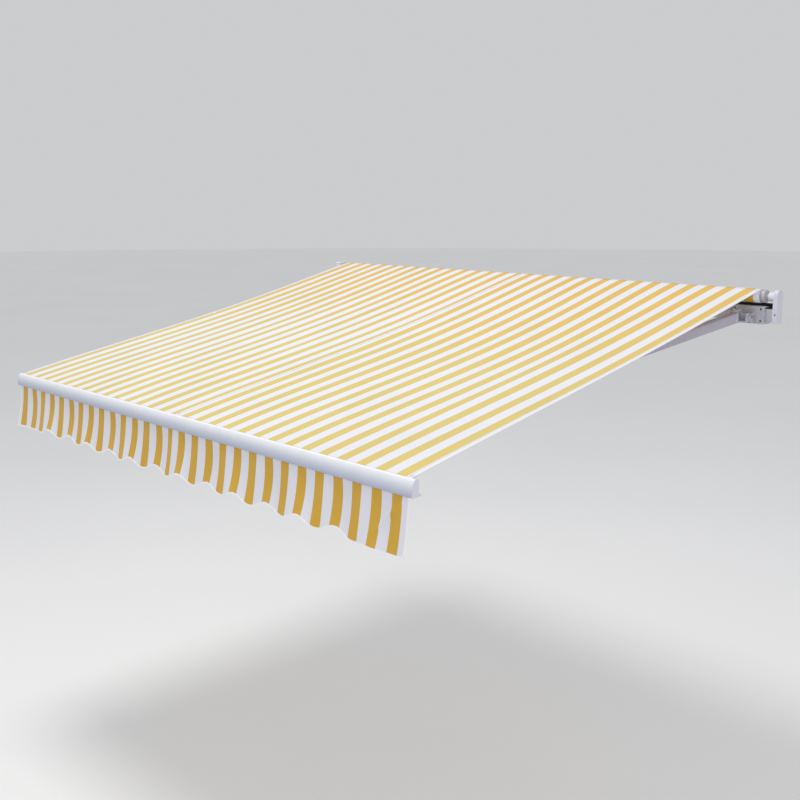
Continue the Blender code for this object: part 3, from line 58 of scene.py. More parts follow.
class Amount:
    """What a node gives out, usable in sums as a number is."""

    def __init__(self, tree, socket):
        self.tree = tree
        self.socket = socket

    def work(self, operation, first, second):
        node = self.tree.nodes.new("ShaderNodeMath")
        node.operation = operation
        for socket, value in zip(node.inputs, (first, second)):
            if isinstance(value, Amount):
                self.tree.links.new(value.socket, socket)
            else:
                socket.default_value = value
        return Amount(self.tree, node.outputs[0])

    def __add__(self, other):
        return self.work("ADD", self, other)

    __radd__ = __add__

    def __sub__(self, other):
        return self.work("SUBTRACT", self, other)

    def __rsub__(self, other):
        return self.work("SUBTRACT", other, self)

    def __mul__(self, other):
        return self.work("MULTIPLY", self, other)

    __rmul__ = __mul__

    def __truediv__(self, other):
        return self.work("DIVIDE", self, other)

    def __rtruediv__(self, other):
        return self.work("DIVIDE", other, self)

    def __mod__(self, other):
        return self.work("FLOORED_MODULO", self, other)

    def __rmod__(self, other):
        return self.work("FLOORED_MODULO", other, self)

    def __gt__(self, other):
        return self.work("GREATER_THAN", self, other)

    def __lt__(self, other):
        return self.work("LESS_THAN", self, other)


class Nodes:
    """A tree of nodes. One method makes any of them."""

    def __init__(self, tree):
        self.tree = tree

    def fill(self, node, sockets):
        for name, value in sockets.items():
            socket = next(s for s in node.inputs if s.enabled and s.name == name)
            if isinstance(value, Amount):
                self.tree.links.new(value.socket, socket)
            else:
                socket.default_value = value

    def node(self, kind, settings, sockets, output=None):
        """Any node: its settings first, then the values or links of its sockets."""
        node = self.tree.nodes.new(kind)
        for name, value in settings.items():
            if name == "stops":
                ramp = node.color_ramp.elements
                while len(ramp) < len(value):
                    ramp.new(1.0)
                for element, (position, colour) in zip(ramp, value):
                    element.position = position
                    element.color = colour
            else:
                setattr(node, name, value)
        self.fill(node, sockets)
        found = [s for s in node.outputs if s.enabled and output in (None, s.name)]
        return Amount(self.tree, found[0])


class Finish(Nodes):
    """A surface finish: one principled shader and the nodes that feed it."""

    def __init__(self, name):
        self.material = bpy.data.materials.new(name)
        self.material.use_nodes = True
        super().__init__(self.material.node_tree)
        self.shader = self.tree.nodes["Principled BSDF"]

    def place(self):
        return self.node("ShaderNodeTexCoord", {}, {}, "Object")

    def measure(self, vector, axis):
        return self.node("ShaderNodeSeparateXYZ", {}, {"Vector": vector}, axis)

    def noise(self, vector, scale, detail=3.0, roughness=0.5):
        sockets = {"Vector": vector, "Scale": scale, "Detail": detail, "Roughness": roughness}
        return self.node("ShaderNodeTexNoise", {}, sockets, "Fac")

    def ramp(self, amount, *stops):
        greys = [(place, (value, value, value, 1.0)) for place, value in stops]
        return self.node("ShaderNodeValToRGB", {"stops": greys}, {"Fac": amount}, "Color")

    def mix(self, first, second, share):
        sockets = {"Factor": share, "A": first, "B": second}
        return self.node("ShaderNodeMix", {"data_type": "RGBA"}, sockets)

    def bump(self, height, strength, distance):
        sockets = {"Height": height, "Strength": strength, "Distance": distance}
        return self.node("ShaderNodeBump", {}, sockets)

    def shade(self, **sockets):
        self.fill(self.shader, {name.replace("_", " "): value for name, value in sockets.items()})
        return self.material


def srgb(red, green, blue):
    """A colour as a screen shows it, 0 to 255, turned into light."""
    parts = [value / 255 for value in (red, green, blue)]
    light = [v / 12.92 if v <= 0.04045 else ((v + 0.055) / 1.055) ** 2.4 for v in parts]
    return (*light, 1.0)


def shaded(colour, share):
    """The same colour, darker."""
    return (*(value * share for value in colour[:3]), 1.0)


def enamel(name, colour, roughness, coarse=1.0):
    """Baked powder enamel: slight cloudiness, a fine orange-peel skin and a little dust."""
    finish = Finish(name)
    place = finish.place()
    cloud = finish.ramp(finish.noise(place, 5.0), (0.3, 0.0), (0.7, 1.0))
    dust = finish.ramp(finish.noise(place, 38.0, 6.0, 0.65), (0.48, 0.0), (0.74, 1.0))
    tone = finish.mix(colour, shaded(colour, 0.93), cloud)
    tone = finish.mix(tone, srgb(150, 144, 136), dust * 0.16)
    peel = finish.noise(place, 620.0 / coarse, 2.0)
    pits = finish.ramp(finish.noise(place, 150.0 / coarse, 4.0, 0.6), (0.35, 0.0), (0.6, 1.0))
    skin = finish.bump(peel * 0.6 + pits * 0.4, 0.25 * coarse, 0.0004)
    return finish.shade(Base_Color=tone, Roughness=roughness + dust * 0.15 - cloud * 0.05, Normal=skin)


def dress(finish, *nodes):
    """Gives solids that stay as they are their finish."""
    for node in nodes:
        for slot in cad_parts[node].material_slots:
            slot.material = finish


SMOOTH_BELOW = math.radians(35)


def settle(name, mesh, body, stands_for=()):
    """Makes a piece of a finished mesh. It moves with a body."""
    mesh.shade_smooth()
    mesh.set_sharp_from_angle(angle=SMOOTH_BELOW)
    piece = bpy.data.objects.new(name, mesh)
    bpy.context.scene.collection.objects.link(piece)
    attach(piece, body)
    if stands_for:
        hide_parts(*stands_for)
    return piece


def built(name, shape, finish, body, stands_for=()):
    """Makes a piece of a shape in one finish."""
    mesh = bpy.data.meshes.new(name)
    shape.to_mesh(mesh)
    shape.free()
    mesh.materials.append(finish)
    return settle(name, mesh, body, stands_for)


def ease_edges(shape, corner, width):
    """Rounds every edge that is sharper than a corner of this angle."""
    sharp = [e for e in shape.edges if e.is_manifold and e.calc_face_angle(0.0) > corner]
    bmesh.ops.bevel(
        shape, geom=sharp, offset=width, segments=2, profile=0.6, affect="EDGES", clamp_overlap=True
    )


def eased(node, finish, body, width=0.0008):
    """The same solid with its edges eased, as a casting or a pressing has them."""
    shape = bmesh.new()
    shape.from_mesh(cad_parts[node].data)
    bmesh.ops.remove_doubles(shape, verts=shape.verts, dist=1e-5)
    bmesh.ops.dissolve_limit(shape, angle_limit=math.radians(0.6), verts=shape.verts, edges=shape.edges)
    ease_edges(shape, math.radians(38), width)
    bmesh.ops.triangulate(shape, faces=shape.faces)
    return built(f"{node}_eased", shape, finish, body, (node,))


BAR_GREY = srgb(180, 184, 195)
bar_enamel = enamel("bar_enamel", BAR_GREY, 0.36)
dress(bar_enamel, "torsion_bar")
for place in ("left", "centre", "right"):
    eased(f"wall_bracket_{place}", bar_enamel, "wall_frame", 0.001)


def plated(name, colour, roughness):
    """Bright plating with faint turning marks and stains."""
    finish = Finish(name)
    place = finish.place()
    stain = finish.ramp(finish.noise(place, 90.0, 5.0, 0.6), (0.35, 0.0), (0.7, 1.0))
    marks = finish.noise(place, 900.0, 2.0)
    tone = finish.mix(colour, shaded(colour, 0.7), stain)
    skin = finish.bump(marks, 0.12, 0.0002)
    finish.shade(Metallic=1.0)
    return finish.shade(Base_Color=tone, Roughness=roughness + stain * 0.2, Normal=skin)


zinc = plated("zinc_plate", (0.72, 0.71, 0.67, 1.0), 0.26)
dress(zinc, "bracket_bolt_left", "bracket_bolt_centre", "bracket_bolt_right")

# Weather strip. A black angle with a rubber finish on the top of the torsion bar, its lip standing up
# behind the roller, is painted shade: it fills the dark gap between roller and bar.
gap_shade_finish = Finish("weather_rubber")
rubber_place = gap_shade_finish.place()
rubber_bloom = gap_shade_finish.ramp(gap_shade_finish.noise(rubber_place, 30.0, 5.0, 0.6), (0.4, 0.0), (0.75, 1.0))
# Painted shade: near-black, standing in for the dark gap between roller and torsion bar.
gap_shade_tone = gap_shade_finish.mix(srgb(20, 20, 22), srgb(46, 46, 50), rubber_bloom)
rubber_skin = gap_shade_finish.bump(gap_shade_finish.noise(rubber_place, 500.0, 2.0), 0.3, 0.0004)
gap_shade_finish.shade(Base_Color=gap_shade_tone, Roughness=0.55 + rubber_bloom * 0.25, Normal=rubber_skin)
dress(gap_shade_finish.material, "weather_strip")

# End brackets and covers. A die-cast plate with a spigot closes each end of the torsion bar and
# carries the roller. A moulded cover hides it, held by one small screw in its front face.
SIDES = {"left": -1, "right": 1}
cast_white = enamel("cast_white", srgb(226, 226, 234), 0.4, 1.4)
for side in SIDES:
    eased(f"end_bracket_{side}", cast_white, "wall_frame", 0.0009)


def moulded(name, colour, roughness):
    """Moulded plastic with a fine spark-eroded skin."""
    finish = Finish(name)
    place = finish.place()
    cloud = finish.ramp(finish.noise(place, 14.0, 3.0), (0.35, 0.0), (0.7, 1.0))
    skin = finish.bump(finish.noise(place, 1100.0, 2.0), 0.2, 0.0003)
    tone = finish.mix(colour, shaded(colour, 0.94), cloud)
    return finish.shade(Base_Color=tone, Roughness=roughness + cloud * 0.08, Normal=skin)


COVER_WHITE = srgb(214, 213, 226)
cover_plastic = moulded("cover_plastic", COVER_WHITE, 0.34)
for side in SIDES:
    eased(f"end_cover_{side}", cover_plastic, "wall_frame", 0.0012)


class Growth(Nodes):
    """A geometry tree that grows small pieces on a seed mesh, with named inputs for their sizes."""

    def __init__(self, name, sizes):
        super().__init__(bpy.data.node_groups.new(name, "GeometryNodeTree"))
        face = self.tree.interface
        face.new_socket("Geometry", in_out="INPUT", socket_type="NodeSocketGeometry")
        for label, value in sizes.items():
            kind = "NodeSocketVector" if isinstance(value, tuple) else "NodeSocketFloat"
            face.new_socket(label, in_out="INPUT", socket_type=kind).default_value = value
        face.new_socket("Finish", in_out="INPUT", socket_type="NodeSocketMaterial")
        face.new_socket("Geometry", in_out="OUTPUT", socket_type="NodeSocketGeometry")
        given = self.tree.nodes.new("NodeGroupInput").outputs
        self.given = {socket.name: Amount(self.tree, socket) for socket in given}

    def join(self, *parts):
        """Several meshes as one."""
        whole = self.node("GeometryNodeJoinGeometry", {}, {})
        for part in parts:
            self.tree.links.new(part.socket, whole.socket.node.inputs[0])
        return whole

    def finished(self, copies):
        """Ends the tree: the copies made real, in their finish."""
        real = self.node("GeometryNodeRealizeInstances", {}, {"Geometry": copies})
        sockets = {"Geometry": real, "Material": self.given["Finish"]}
        dressed = self.node("GeometryNodeSetMaterial", {}, sockets)
        made = self.tree.nodes.new("NodeGroupOutput").inputs
        self.tree.links.new(dressed.socket, made[0])
        return self.tree


FACING_OUT = (math.pi / 2, 0.0, 0.0)
ROUND_SIDES = 20
HEX_SIDES = 6


def screw_tree():
    """Nodes that put a screw with a flange and a hexagon socket on every point of a mesh."""
    sizes = {"Head Radius": 0.0045, "Head Height": 0.003, "Flange": 0.0012, "Turn": FACING_OUT}
    tree = Growth("screws", sizes)
    radius = tree.given["Head Radius"]
    height = tree.given["Head Height"]
    flange = tree.given["Flange"]

    def disc(radius, length, lift, sides, top=1.0):
        sockets = {"Vertices": sides, "Radius Bottom": radius, "Radius Top": radius * top, "Depth": length}
        cone = tree.node("GeometryNodeMeshCone", {}, sockets, "Mesh")
        up = tree.node("ShaderNodeCombineXYZ", {}, {"Z": lift})
        return tree.node("GeometryNodeTransform", {}, {"Geometry": cone, "Translation": up})

    washer = disc(radius * 1.12, flange, 0.0, ROUND_SIDES)
    head = disc(radius * 0.94, height, flange + 0.0001, ROUND_SIDES, 0.9)
    socket_cut = disc(radius * 0.5, height, height * 0.7, HEX_SIDES)
    sockets = {"Mesh 1": head, "Mesh 2": socket_cut}
    hollow = tree.node("GeometryNodeMeshBoolean", {"operation": "DIFFERENCE"}, sockets)
    screw = tree.join(washer, hollow)
    sockets = {"Points": tree.given["Geometry"], "Instance": screw, "Rotation": tree.given["Turn"]}
    return tree.finished(tree.node("GeometryNodeInstanceOnPoints", {}, sockets))


def grown(name, tree, shape, settings, body):
    """Runs a node tree on a seed mesh and keeps the result as a plain mesh."""
    seed = bpy.data.meshes.new(name)
    shape.to_mesh(seed)
    shape.free()
    carrier = bpy.data.objects.new(name + "_seed", seed)
    bpy.context.scene.collection.objects.link(carrier)
    growth = carrier.modifiers.new("growth", "NODES")
    growth.node_group = tree
    for item in tree.interface.items_tree:
        if item.item_type == "SOCKET" and item.in_out == "INPUT" and item.name in settings:
            growth[item.identifier] = settings[item.name]
    bpy.context.view_layer.update()
    depsgraph = bpy.context.evaluated_depsgraph_get()
    mesh = bpy.data.meshes.new_from_object(carrier.evaluated_get(depsgraph))
    carrier.modifiers.remove(growth)
    bpy.data.objects.remove(carrier, do_unlink=True)
    mesh.name = name
    return settle(name, mesh, body)


screws = screw_tree()


def screwed(name, places, radius, height, finish):
    """Screws of one size, facing out from the wall frame."""
    shape = bmesh.new()
    for place in places:
        shape.verts.new(place)
    settings = {"Head Radius": radius, "Head Height": height, "Flange": 0.0006}
    settings |= {"Turn": FACING_OUT, "Finish": finish}
    return grown(name, screws, shape, settings, "wall_frame")


COVER_SCREW_HEIGHT = 0.006
COVER_SCREW_SUNK = 0.0002
dull_steel = plated("dull_steel", (0.20, 0.20, 0.22, 1.0), 0.5)
cover_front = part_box("end_cover_right")[0][1]
for side in SIDES:
    low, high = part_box(f"end_cover_{side}")
    place = ((low[0] + high[0]) / 2, cover_front + COVER_SCREW_SUNK, COVER_SCREW_HEIGHT)
    screwed(f"end_cover_screw_{side}", [place], 0.0034, 0.0012, dull_steel)

# Roller. A grooved steel tube with a cast plug in each end: the right plug turns in a nylon bush,
# the left plug's square drives through the gear wheel.
tube_steel = enamel("roller_steel", srgb(176, 178, 184), 0.3)
dress(tube_steel, "roller_tube")
cast_alloy = enamel("cast_alloy", srgb(186, 186, 194), 0.42, 2.0)
for side in SIDES:
    eased(f"roller_plug_{side}", cast_alloy, "roller", 0.0008)
nylon = moulded("bush_nylon", srgb(96, 96, 100), 0.5)
dress(nylon, "roller_bush")

# Crank gear. A worm on the crank's shaft turns a brass wheel on the roller's square, inside a
# cast case with a lid. The shaft ends below in an eye for the hook of the crank handle.
CASE_SCREW_IN = 0.009
CASE_SCREW_UP = 0.010
CASE_SCREW_SUNK = 0.0005
brass = plated("gear_brass", (0.62, 0.45, 0.18, 1.0), 0.32)
dress(brass, "gear_wheel")
eased("gearbox_case", cast_white, "wall_frame", 0.001)
eased("gearbox_lid", cast_white, "wall_frame", 0.0007)
crank_steel = plated("crank_steel", (0.55, 0.55, 0.56, 1.0), 0.34)
dress(crank_steel, "crank_worm")
case_low, case_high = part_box("gearbox_case")
case_corners = [
    (x, case_low[1] + CASE_SCREW_SUNK, z)
    for x in (case_low[0] + CASE_SCREW_IN, case_high[0] - CASE_SCREW_IN)
    for z in (case_low[2] + CASE_SCREW_UP, case_high[2] - CASE_SCREW_UP)
]
screwed("gearbox_screws", case_corners, 0.003, 0.0014, zinc)

# Fabric on the roller. The awning cloth is woven acrylic in yellow and white stripes. A turn and
# a quarter of it stays on the roller when the awning is fully open, and laps into the canopy.
FABRIC_WIDTH = 2.890
HALF_WIDTH = FABRIC_WIDTH / 2
FABRIC_THICKNESS = 0.0006
STRIPES = 29
STRIPE_REPEAT = 0.100
STRIPE_EDGE = 0.030
# The seam joins two widths in the middle stripe, and its overlap takes up some of the pattern.
SEAM_STRIPE = 14
SEAM_FROM_EDGE = 1.465
SEAM_LOSS = 0.020
THREADS_PER_METRE = 1300.0
# Painted light: from here on, measured from the roller, the canopy's yellow is painted fully in its paler lit
# tone.
PALE_PAINT_REACH = 1.3
YELLOW = srgb(218, 172, 60)
# Painted light: the canopy's paler lit yellow, and the deeper yellow painted near the roller.
LIT_PAINTED_YELLOW = srgb(219, 198, 116)
NEAR_ROLLER_YELLOW = srgb(226, 184, 84)
WHITE = srgb(232, 232, 240)


def stripe_share(finish, across):
    """1 on a yellow stripe and 0 on a white one, at a distance across the cloth."""
    from_edge = across + (HALF_WIDTH - STRIPE_EDGE)
    past_seam = from_edge > (SEAM_FROM_EDGE - STRIPE_EDGE)
    repeat = (from_edge + past_seam * SEAM_LOSS) % STRIPE_REPEAT
    return finish.ramp(repeat / STRIPE_REPEAT, (0.0, 0.0), (0.008, 1.0), (0.492, 1.0), (0.5, 0.0))


def thread_wave(amount):
    """The rise and fall of one set of threads."""
    return amount.work("SINE", amount * math.tau, 0.0) * 0.5 + 0.5


def awning_cloth(name, yellow, white, near_roller=None):
    """Plain-woven acrylic in stripes. A second yellow, when given, is painted at the roller and turns into
    the main yellow further out: painted light, the canopy's paler lit look.
    """
    finish = Finish(name)
    flat = finish.node("ShaderNodeUVMap", {"uv_map": "cloth_metres"}, {})
    across = finish.measure(flat, "X")
    along = finish.measure(flat, "Y")
    stripe = stripe_share(finish, across)
    place = finish.place()
    cloud = finish.ramp(finish.noise(place, 3.2, 4.0, 0.55), (0.35, 0.0), (0.68, 1.0))
    fleck = finish.noise(place, 260.0, 4.0, 0.7)
    dull_yellow = shaded(yellow, 0.90)
    # Painted light: the yellow turns from the deeper one at the roller to the paler lit one further out.
    if near_roller:
        painted_light_share = finish.ramp(along / PALE_PAINT_REACH, (0.0, 0.0), (1.0, 1.0))
        yellow = finish.mix(near_roller, yellow, painted_light_share)
        dull_yellow = finish.mix(shaded(near_roller, 0.90), dull_yellow, painted_light_share)
    tone = finish.mix(white, yellow, stripe)
    dull = finish.mix(shaded(white, 0.94), dull_yellow, stripe)
    tone = finish.mix(tone, dull, cloud * 0.5 + fleck * 0.4)
    weft = thread_wave(along * THREADS_PER_METRE)
    warp = thread_wave(across * THREADS_PER_METRE)
    weave = finish.bump(weft * warp + fleck * 0.6, 0.22, 0.0003)
    finish.shade(Sheen_Weight=0.15, Sheen_Roughness=0.5, Specular_IOR_Level=0.3)
    return finish.shade(Base_Color=tone, Roughness=0.82 + fleck * 0.1, Normal=weave)


striped = awning_cloth("striped_cloth", YELLOW, WHITE)
# The canopy's cloth is painted in a paler yellow than the roll's and the valance's: painted light for the
# bright light on its top.
canopy_lit_cloth = awning_cloth("faded_striped_cloth", LIT_PAINTED_YELLOW, shaded(WHITE, 0.97), NEAR_ROLLER_YELLOW)


def cloth(name, columns, rows, place, finish, body, thickness, stands_for=()):
    """A woven sheet: place gives a point from its column's X and its row, in metres."""
    shape = bmesh.new()
    measure = shape.loops.layers.uv.new("cloth_metres")
    points = [[Vector(place(x, row)) for x in columns] for row in range(rows + 1)]
    middle = len(columns) // 2
    run = [0.0]
    for before, after in zip(points, points[1:]):
        run.append(run[-1] + (after[middle] - before[middle]).length)
    grid = [[shape.verts.new(point) for point in row] for row in points]
    for row in range(rows):
        for column in range(len(columns) - 1):
            corners = [(row, column), (row + 1, column), (row + 1, column + 1), (row, column + 1)]
            face = shape.faces.new([grid[r][c] for r, c in corners])
            for loop, (r, c) in zip(face.loops, corners):
                loop[measure].uv = (columns[c], run[r])
    piece = built(name, shape, finish, body, stands_for)
    thick = piece.modifiers.new("thickness", "SOLIDIFY")
    thick.thickness = thickness
    thick.offset = 0.0
    return piece, run[-1]


ROLLER = Vector((0, -0.075, 0.085))
# Radius of the first turn, what a turn adds to it, and how many turns stay on the roller.
ROLL_START = 0.0311
ROLL_GROWTH = 0.00085
ROLL_TURNS = 1.25
ROLL_STEPS = 72
ROLL_ROWS = round(ROLL_TURNS * ROLL_STEPS)
ROLL_COLUMNS = 60
FRONT_BAR = Vector((0, -2.29678, -0.36600))
GROOVE = FRONT_BAR + Vector((0, -0.0025, 0.0016))
roll_radius = ROLL_START + ROLL_TURNS * ROLL_GROWTH
roll_to_bar = GROOVE - ROLLER
LEAVING = math.atan2(-roll_to_bar.z, -roll_to_bar.y) + math.asin(roll_radius / roll_to_bar.length)


def on_roll(x, row):
    """The cloth's winding on the roller, which ends where the canopy leaves it."""
    turn = ROLL_TURNS * row / ROLL_ROWS
    angle = LEAVING - math.tau * (ROLL_TURNS - turn)
    radius = ROLL_START + turn * ROLL_GROWTH
    return (x, ROLLER.y - radius * math.sin(angle), ROLLER.z + radius * math.cos(angle))


rolled, rolled_length = cloth(
    "rolled_fabric",
    [-HALF_WIDTH + FABRIC_WIDTH * step / ROLL_COLUMNS for step in range(ROLL_COLUMNS + 1)],
    ROLL_ROWS,
    on_roll,
    striped,
    "roller",
    FABRIC_THICKNESS,
    ("fabric_roll",),
)

# Canopy. One striped cloth, joined along a seam near its middle, runs from the roller to a slot in
# the front bar. It hangs a little slack, most in the right half, with a hem down each side.
# The slack: places across the cloth, how deep it hangs there, how far along to the front bar
# that is, as a share, and how softly it fades towards both ends.
SAG_PLACES = (-1.445, -1.42, -1.15, -0.70, -0.15, 0.28, 0.50, 0.90, 1.17, 1.38, 1.445)
SAG_DEPTHS = (0.020, 0.018, 0.020, 0.022, 0.024, 0.028, 0.034, 0.035, 0.020, 0.018, 0.010)
SAG_DEEPEST = 0.43
SAG_EVENNESS = 2.0
CANOPY_ROWS = 110
CANOPY_LEAD = 0.012
OFF_THE_ROLL = 0.0008
INTO_THE_BAR = 0.004
# Faint ripples, which fade before the hems, and puckers where the front bar grips the cloth.
RIPPLES_END = 1.40
RIPPLES_FADE = 0.25
BROAD_RIPPLE = 0.0016
CLOSE_RIPPLE = 0.0011
SLOT_PUCKER = 0.0007
leave = ROLLER + roll_radius * Vector((0, -math.sin(LEAVING), math.cos(LEAVING)))
pull = (GROOVE - leave).normalized()
leave = leave + pull * OFF_THE_ROLL
lead = leave + pull * CANOPY_LEAD


def stripe_columns(per_band):
    """Places across the cloth, with one on every change of colour."""
    edges = [0.0]
    for number in range(STRIPES):
        start = STRIPE_EDGE + number * STRIPE_REPEAT
        width = STRIPE_REPEAT / 2
        if number == SEAM_STRIPE:
            width = SEAM_FROM_EDGE - start
        if number > SEAM_STRIPE:
            start -= SEAM_LOSS
        edges += [start, start + width]
    edges.append(FABRIC_WIDTH)
    columns = []
    for left, right in zip(edges, edges[1:]):
        columns += [left + (right - left) * step / per_band for step in range(per_band)]
    columns.append(FABRIC_WIDTH)
    return [place - HALF_WIDTH for place in columns]


def eased_between(places, values, place):
    """The value at a place, passing softly from each given value to the next."""
    if place <= places[0]:
        return values[0]
    for index in range(len(places) - 1):
        if place <= places[index + 1]:
            share = (place - places[index]) / (places[index + 1] - places[index])
            share = share * share * (3 - 2 * share)
            return values[index] + (values[index + 1] - values[index]) * share
    return values[-1]


def sag_share(share):
    """How the slack spreads from the roller to the front bar, 1 where it is deepest."""
    power = SAG_EVENNESS * SAG_DEEPEST / (1 - SAG_DEEPEST)
    most = SAG_DEEPEST**power * (1 - SAG_DEEPEST) ** SAG_EVENNESS
    return share**power * (1 - share) ** SAG_EVENNESS / most


def canopy_at(x, share):
    """The canopy's middle surface, share of the way from the roller to the front bar."""
    hang = eased_between(SAG_PLACES, SAG_DEPTHS, x) * sag_share(share)
    inside = max(0.0, min(1.0, (RIPPLES_END - abs(x)) / RIPPLES_FADE))
    ripples = BROAD_RIPPLE * math.sin(x * 27.0 + 3.0 * share)
    ripples += CLOSE_RIPPLE * math.sin(x * 61.0 - 5.0 * share + 1.0)
    ripples *= math.sin(math.pi * share) * inside
    to_bar = 1 - share
    puckers = SLOT_PUCKER * math.sin(x * 140.0) * math.exp(-14.0 * to_bar) * inside
    puckers *= min(1.0, 30 * to_bar)
    return lead.lerp(GROOVE, share) + Vector((x, 0, ripples + puckers - hang))


def on_canopy(x, row):
    """The canopy with its first row on the roll and its last row down in the front bar's slot."""
    if row == 0:
        return leave + Vector((x, 0, 0))
    if row == CANOPY_ROWS + 2:
        return Vector((x, GROOVE.y, FRONT_BAR.z - INTO_THE_BAR))
    return canopy_at(x, (row - 1) / CANOPY_ROWS)


columns = stripe_columns(4)
canopy, canopy_length = cloth(
    "canopy_cloth",
    columns,
    CANOPY_ROWS + 2,
    on_canopy,
    canopy_lit_cloth,
    "canopy_cloth",
    FABRIC_THICKNESS,
    ("canopy",),
)
HEM_WIDTH = 0.024
SEAM_WIDTH = 0.017
TAPE_THICKNESS = 0.0005
TAPE_LIFT = 0.0009
STITCH_LIFT = 0.0014
TAPE_SHORT = 0.004
STITCH_STEPS = 160
HEM_STITCHES = (0.004, 0.020)
SEAM_STITCHES = (0.003, 0.014)
white_cloth = awning_cloth("white_cloth", WHITE, WHITE)


def over_canopy(x, share, lift):
    """A point that lies on the canopy, share of the way down a tape or a line of stitches."""
    down = TAPE_SHORT + (1 - 2 * TAPE_SHORT) * share
    return canopy_at(x, down) + Vector((0, 0, lift))


def tape(name, centre_x, width):
    """A narrow strip of cloth that follows the canopy from the roller to the front bar."""

    def on_tape(x, row):
        return over_canopy(x, row / CANOPY_ROWS, TAPE_LIFT)

    across = [centre_x - width / 2 + width * step / 4 for step in range(5)]
    return cloth(name, across, CANOPY_ROWS, on_tape, white_cloth, "canopy_cloth", TAPE_THICKNESS)[0]


hems = [
    tape(f"canopy_hem_{side}", way * (FABRIC_WIDTH - HEM_WIDTH) / 2, HEM_WIDTH)
    for side, way in SIDES.items()
]
seam_x = SEAM_FROM_EDGE - HALF_WIDTH
seam = tape("canopy_seam", seam_x + SEAM_WIDTH / 2, SEAM_WIDTH)


def stitch_tree():
    """Nodes that lay even stitches along a line of edges."""
    tree = Growth("stitches", {"Spacing": 0.005, "Length": 0.0034, "Thickness": 0.0005})
    line = tree.node("GeometryNodeMeshToCurve", {}, {"Mesh": tree.given["Geometry"]})
    sockets = {"Curve": line, "Length": tree.given["Spacing"]}
    even = tree.node("GeometryNodeResampleCurve", {"mode": "LENGTH"}, sockets)
    way = tree.node("GeometryNodeInputTangent", {}, {})
    turn = tree.node("FunctionNodeAlignRotationToVector", {"axis": "X"}, {"Vector": way})
    thick = tree.given["Thickness"]
    size = tree.node("ShaderNodeCombineXYZ", {}, {"X": tree.given["Length"], "Y": thick, "Z": thick})
    stitch = tree.node("GeometryNodeMeshCube", {}, {"Size": size}, "Mesh")
    sockets = {"Points": even, "Instance": stitch, "Rotation": turn}
    return tree.finished(tree.node("GeometryNodeInstanceOnPoints", {}, sockets))


stitches = stitch_tree()
thread = Finish("sewing_thread")
thread_place = thread.place()
thread_tone = thread.mix(srgb(236, 234, 232), srgb(210, 206, 200), thread.noise(thread_place, 700.0))
thread_skin = thread.bump(thread.noise(thread_place, 2500.0, 1.0), 0.3, 0.0002)
thread.shade(Base_Color=thread_tone, Roughness=0.6, Normal=thread_skin)


def stitched(name, paths, spacing, length, body):
    """Lines of stitches along the paths."""
    shape = bmesh.new()
    for path in paths:
        points = [shape.verts.new(point) for point in path]
        for before, after in zip(points, points[1:]):
            shape.edges.new((before, after))
    settings = {"Spacing": spacing, "Length": length, "Thickness": 0.0005, "Finish": thread.material}
    return grown(name, stitches, shape, settings, body)


stitch_lines = [inset - HALF_WIDTH for inset in HEM_STITCHES]
stitch_lines += [HALF_WIDTH - inset for inset in reversed(HEM_STITCHES)]
stitch_lines += [seam_x + inset for inset in SEAM_STITCHES]
stitch_paths = [
    [over_canopy(x, step / STITCH_STEPS, STITCH_LIFT) for step in range(STITCH_STEPS + 1)]
    for x in stitch_lines
]
canopy_stitches = stitched("canopy_stitches", stitch_paths, 0.005, 0.0034, "canopy_cloth")

ARM_SLOPE = math.radians(10.34)
ARM_LENGTH = 1.067
ARM_OPEN = math.radians(7.2)
ARM_FOLDED = math.radians(85.2)
TRAVEL = 2 * ARM_LENGTH * (math.cos(ARM_OPEN) - math.cos(ARM_FOLDED))
outwards = Vector((0, -math.cos(ARM_SLOPE), -math.sin(ARM_SLOPE)))
reach = (GROOVE - leave).dot(outwards)
for piece in (canopy, *hems, seam, canopy_stitches):
    1 - TRAVEL / reach
    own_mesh(piece)

# Front bar. An extruded aluminium bell section, white enamelled, with a slot on top for the canopy
# and one below for the valance. A moulded cap closes each end.
FRONT_HALF = 1.463
CAP_THICKNESS = 0.004
CAP_GAP = 0.0003
# Each slot is round inside for a sewn bead, with a narrower mouth. Their centres, the foot and the
# outline are measured from FRONT_BAR in Y and Z.
BEAD_RADIUS = 0.0034
MOUTH_HALF = 0.0013
BEAD_STEPS = 16
TOP_BEAD = (-0.0025, -0.0095)
FOOT_BEAD = (-0.0185, -0.0510)
BELL_FOOT = -0.0590
# Painted light and shade: the enamel's colour is painted from blue-grey at the foot to near white at the top
# over this height, as light from above makes it look.
SHADE_HEIGHT = 0.0625


def curve_point(a, b, c, d, t):
    """One measure of a smooth curve from b to c, with a before it and d after it."""
    return 0.5 * (
        2 * b
        + (c - a) * t
        + (2 * a - 5 * b + 4 * c - d) * t * t
        + (3 * b - a - 3 * c + d) * t * t * t
    )


def smooth_line(points, steps):
    """A smooth line through the points."""
    line = []
    for index in range(len(points) - 1):
        before = points[max(index - 1, 0)]
        after = points[min(index + 2, len(points) - 1)]
        around = list(zip(before, points[index], points[index + 1], after))
        line += [tuple(curve_point(*four, step / steps) for four in around) for step in range(steps)]
    line.append(points[-1])
    return line


def bead_slot(centre, start, end):
    """The round inside of a slot for a sewn bead, from one lip of its mouth to the other."""
    angles = [math.radians(start + (end - start) * step / BEAD_STEPS) for step in range(BEAD_STEPS + 1)]
    return [(centre[0] + BEAD_RADIUS * math.cos(a), centre[1] + BEAD_RADIUS * math.sin(a)) for a in angles]


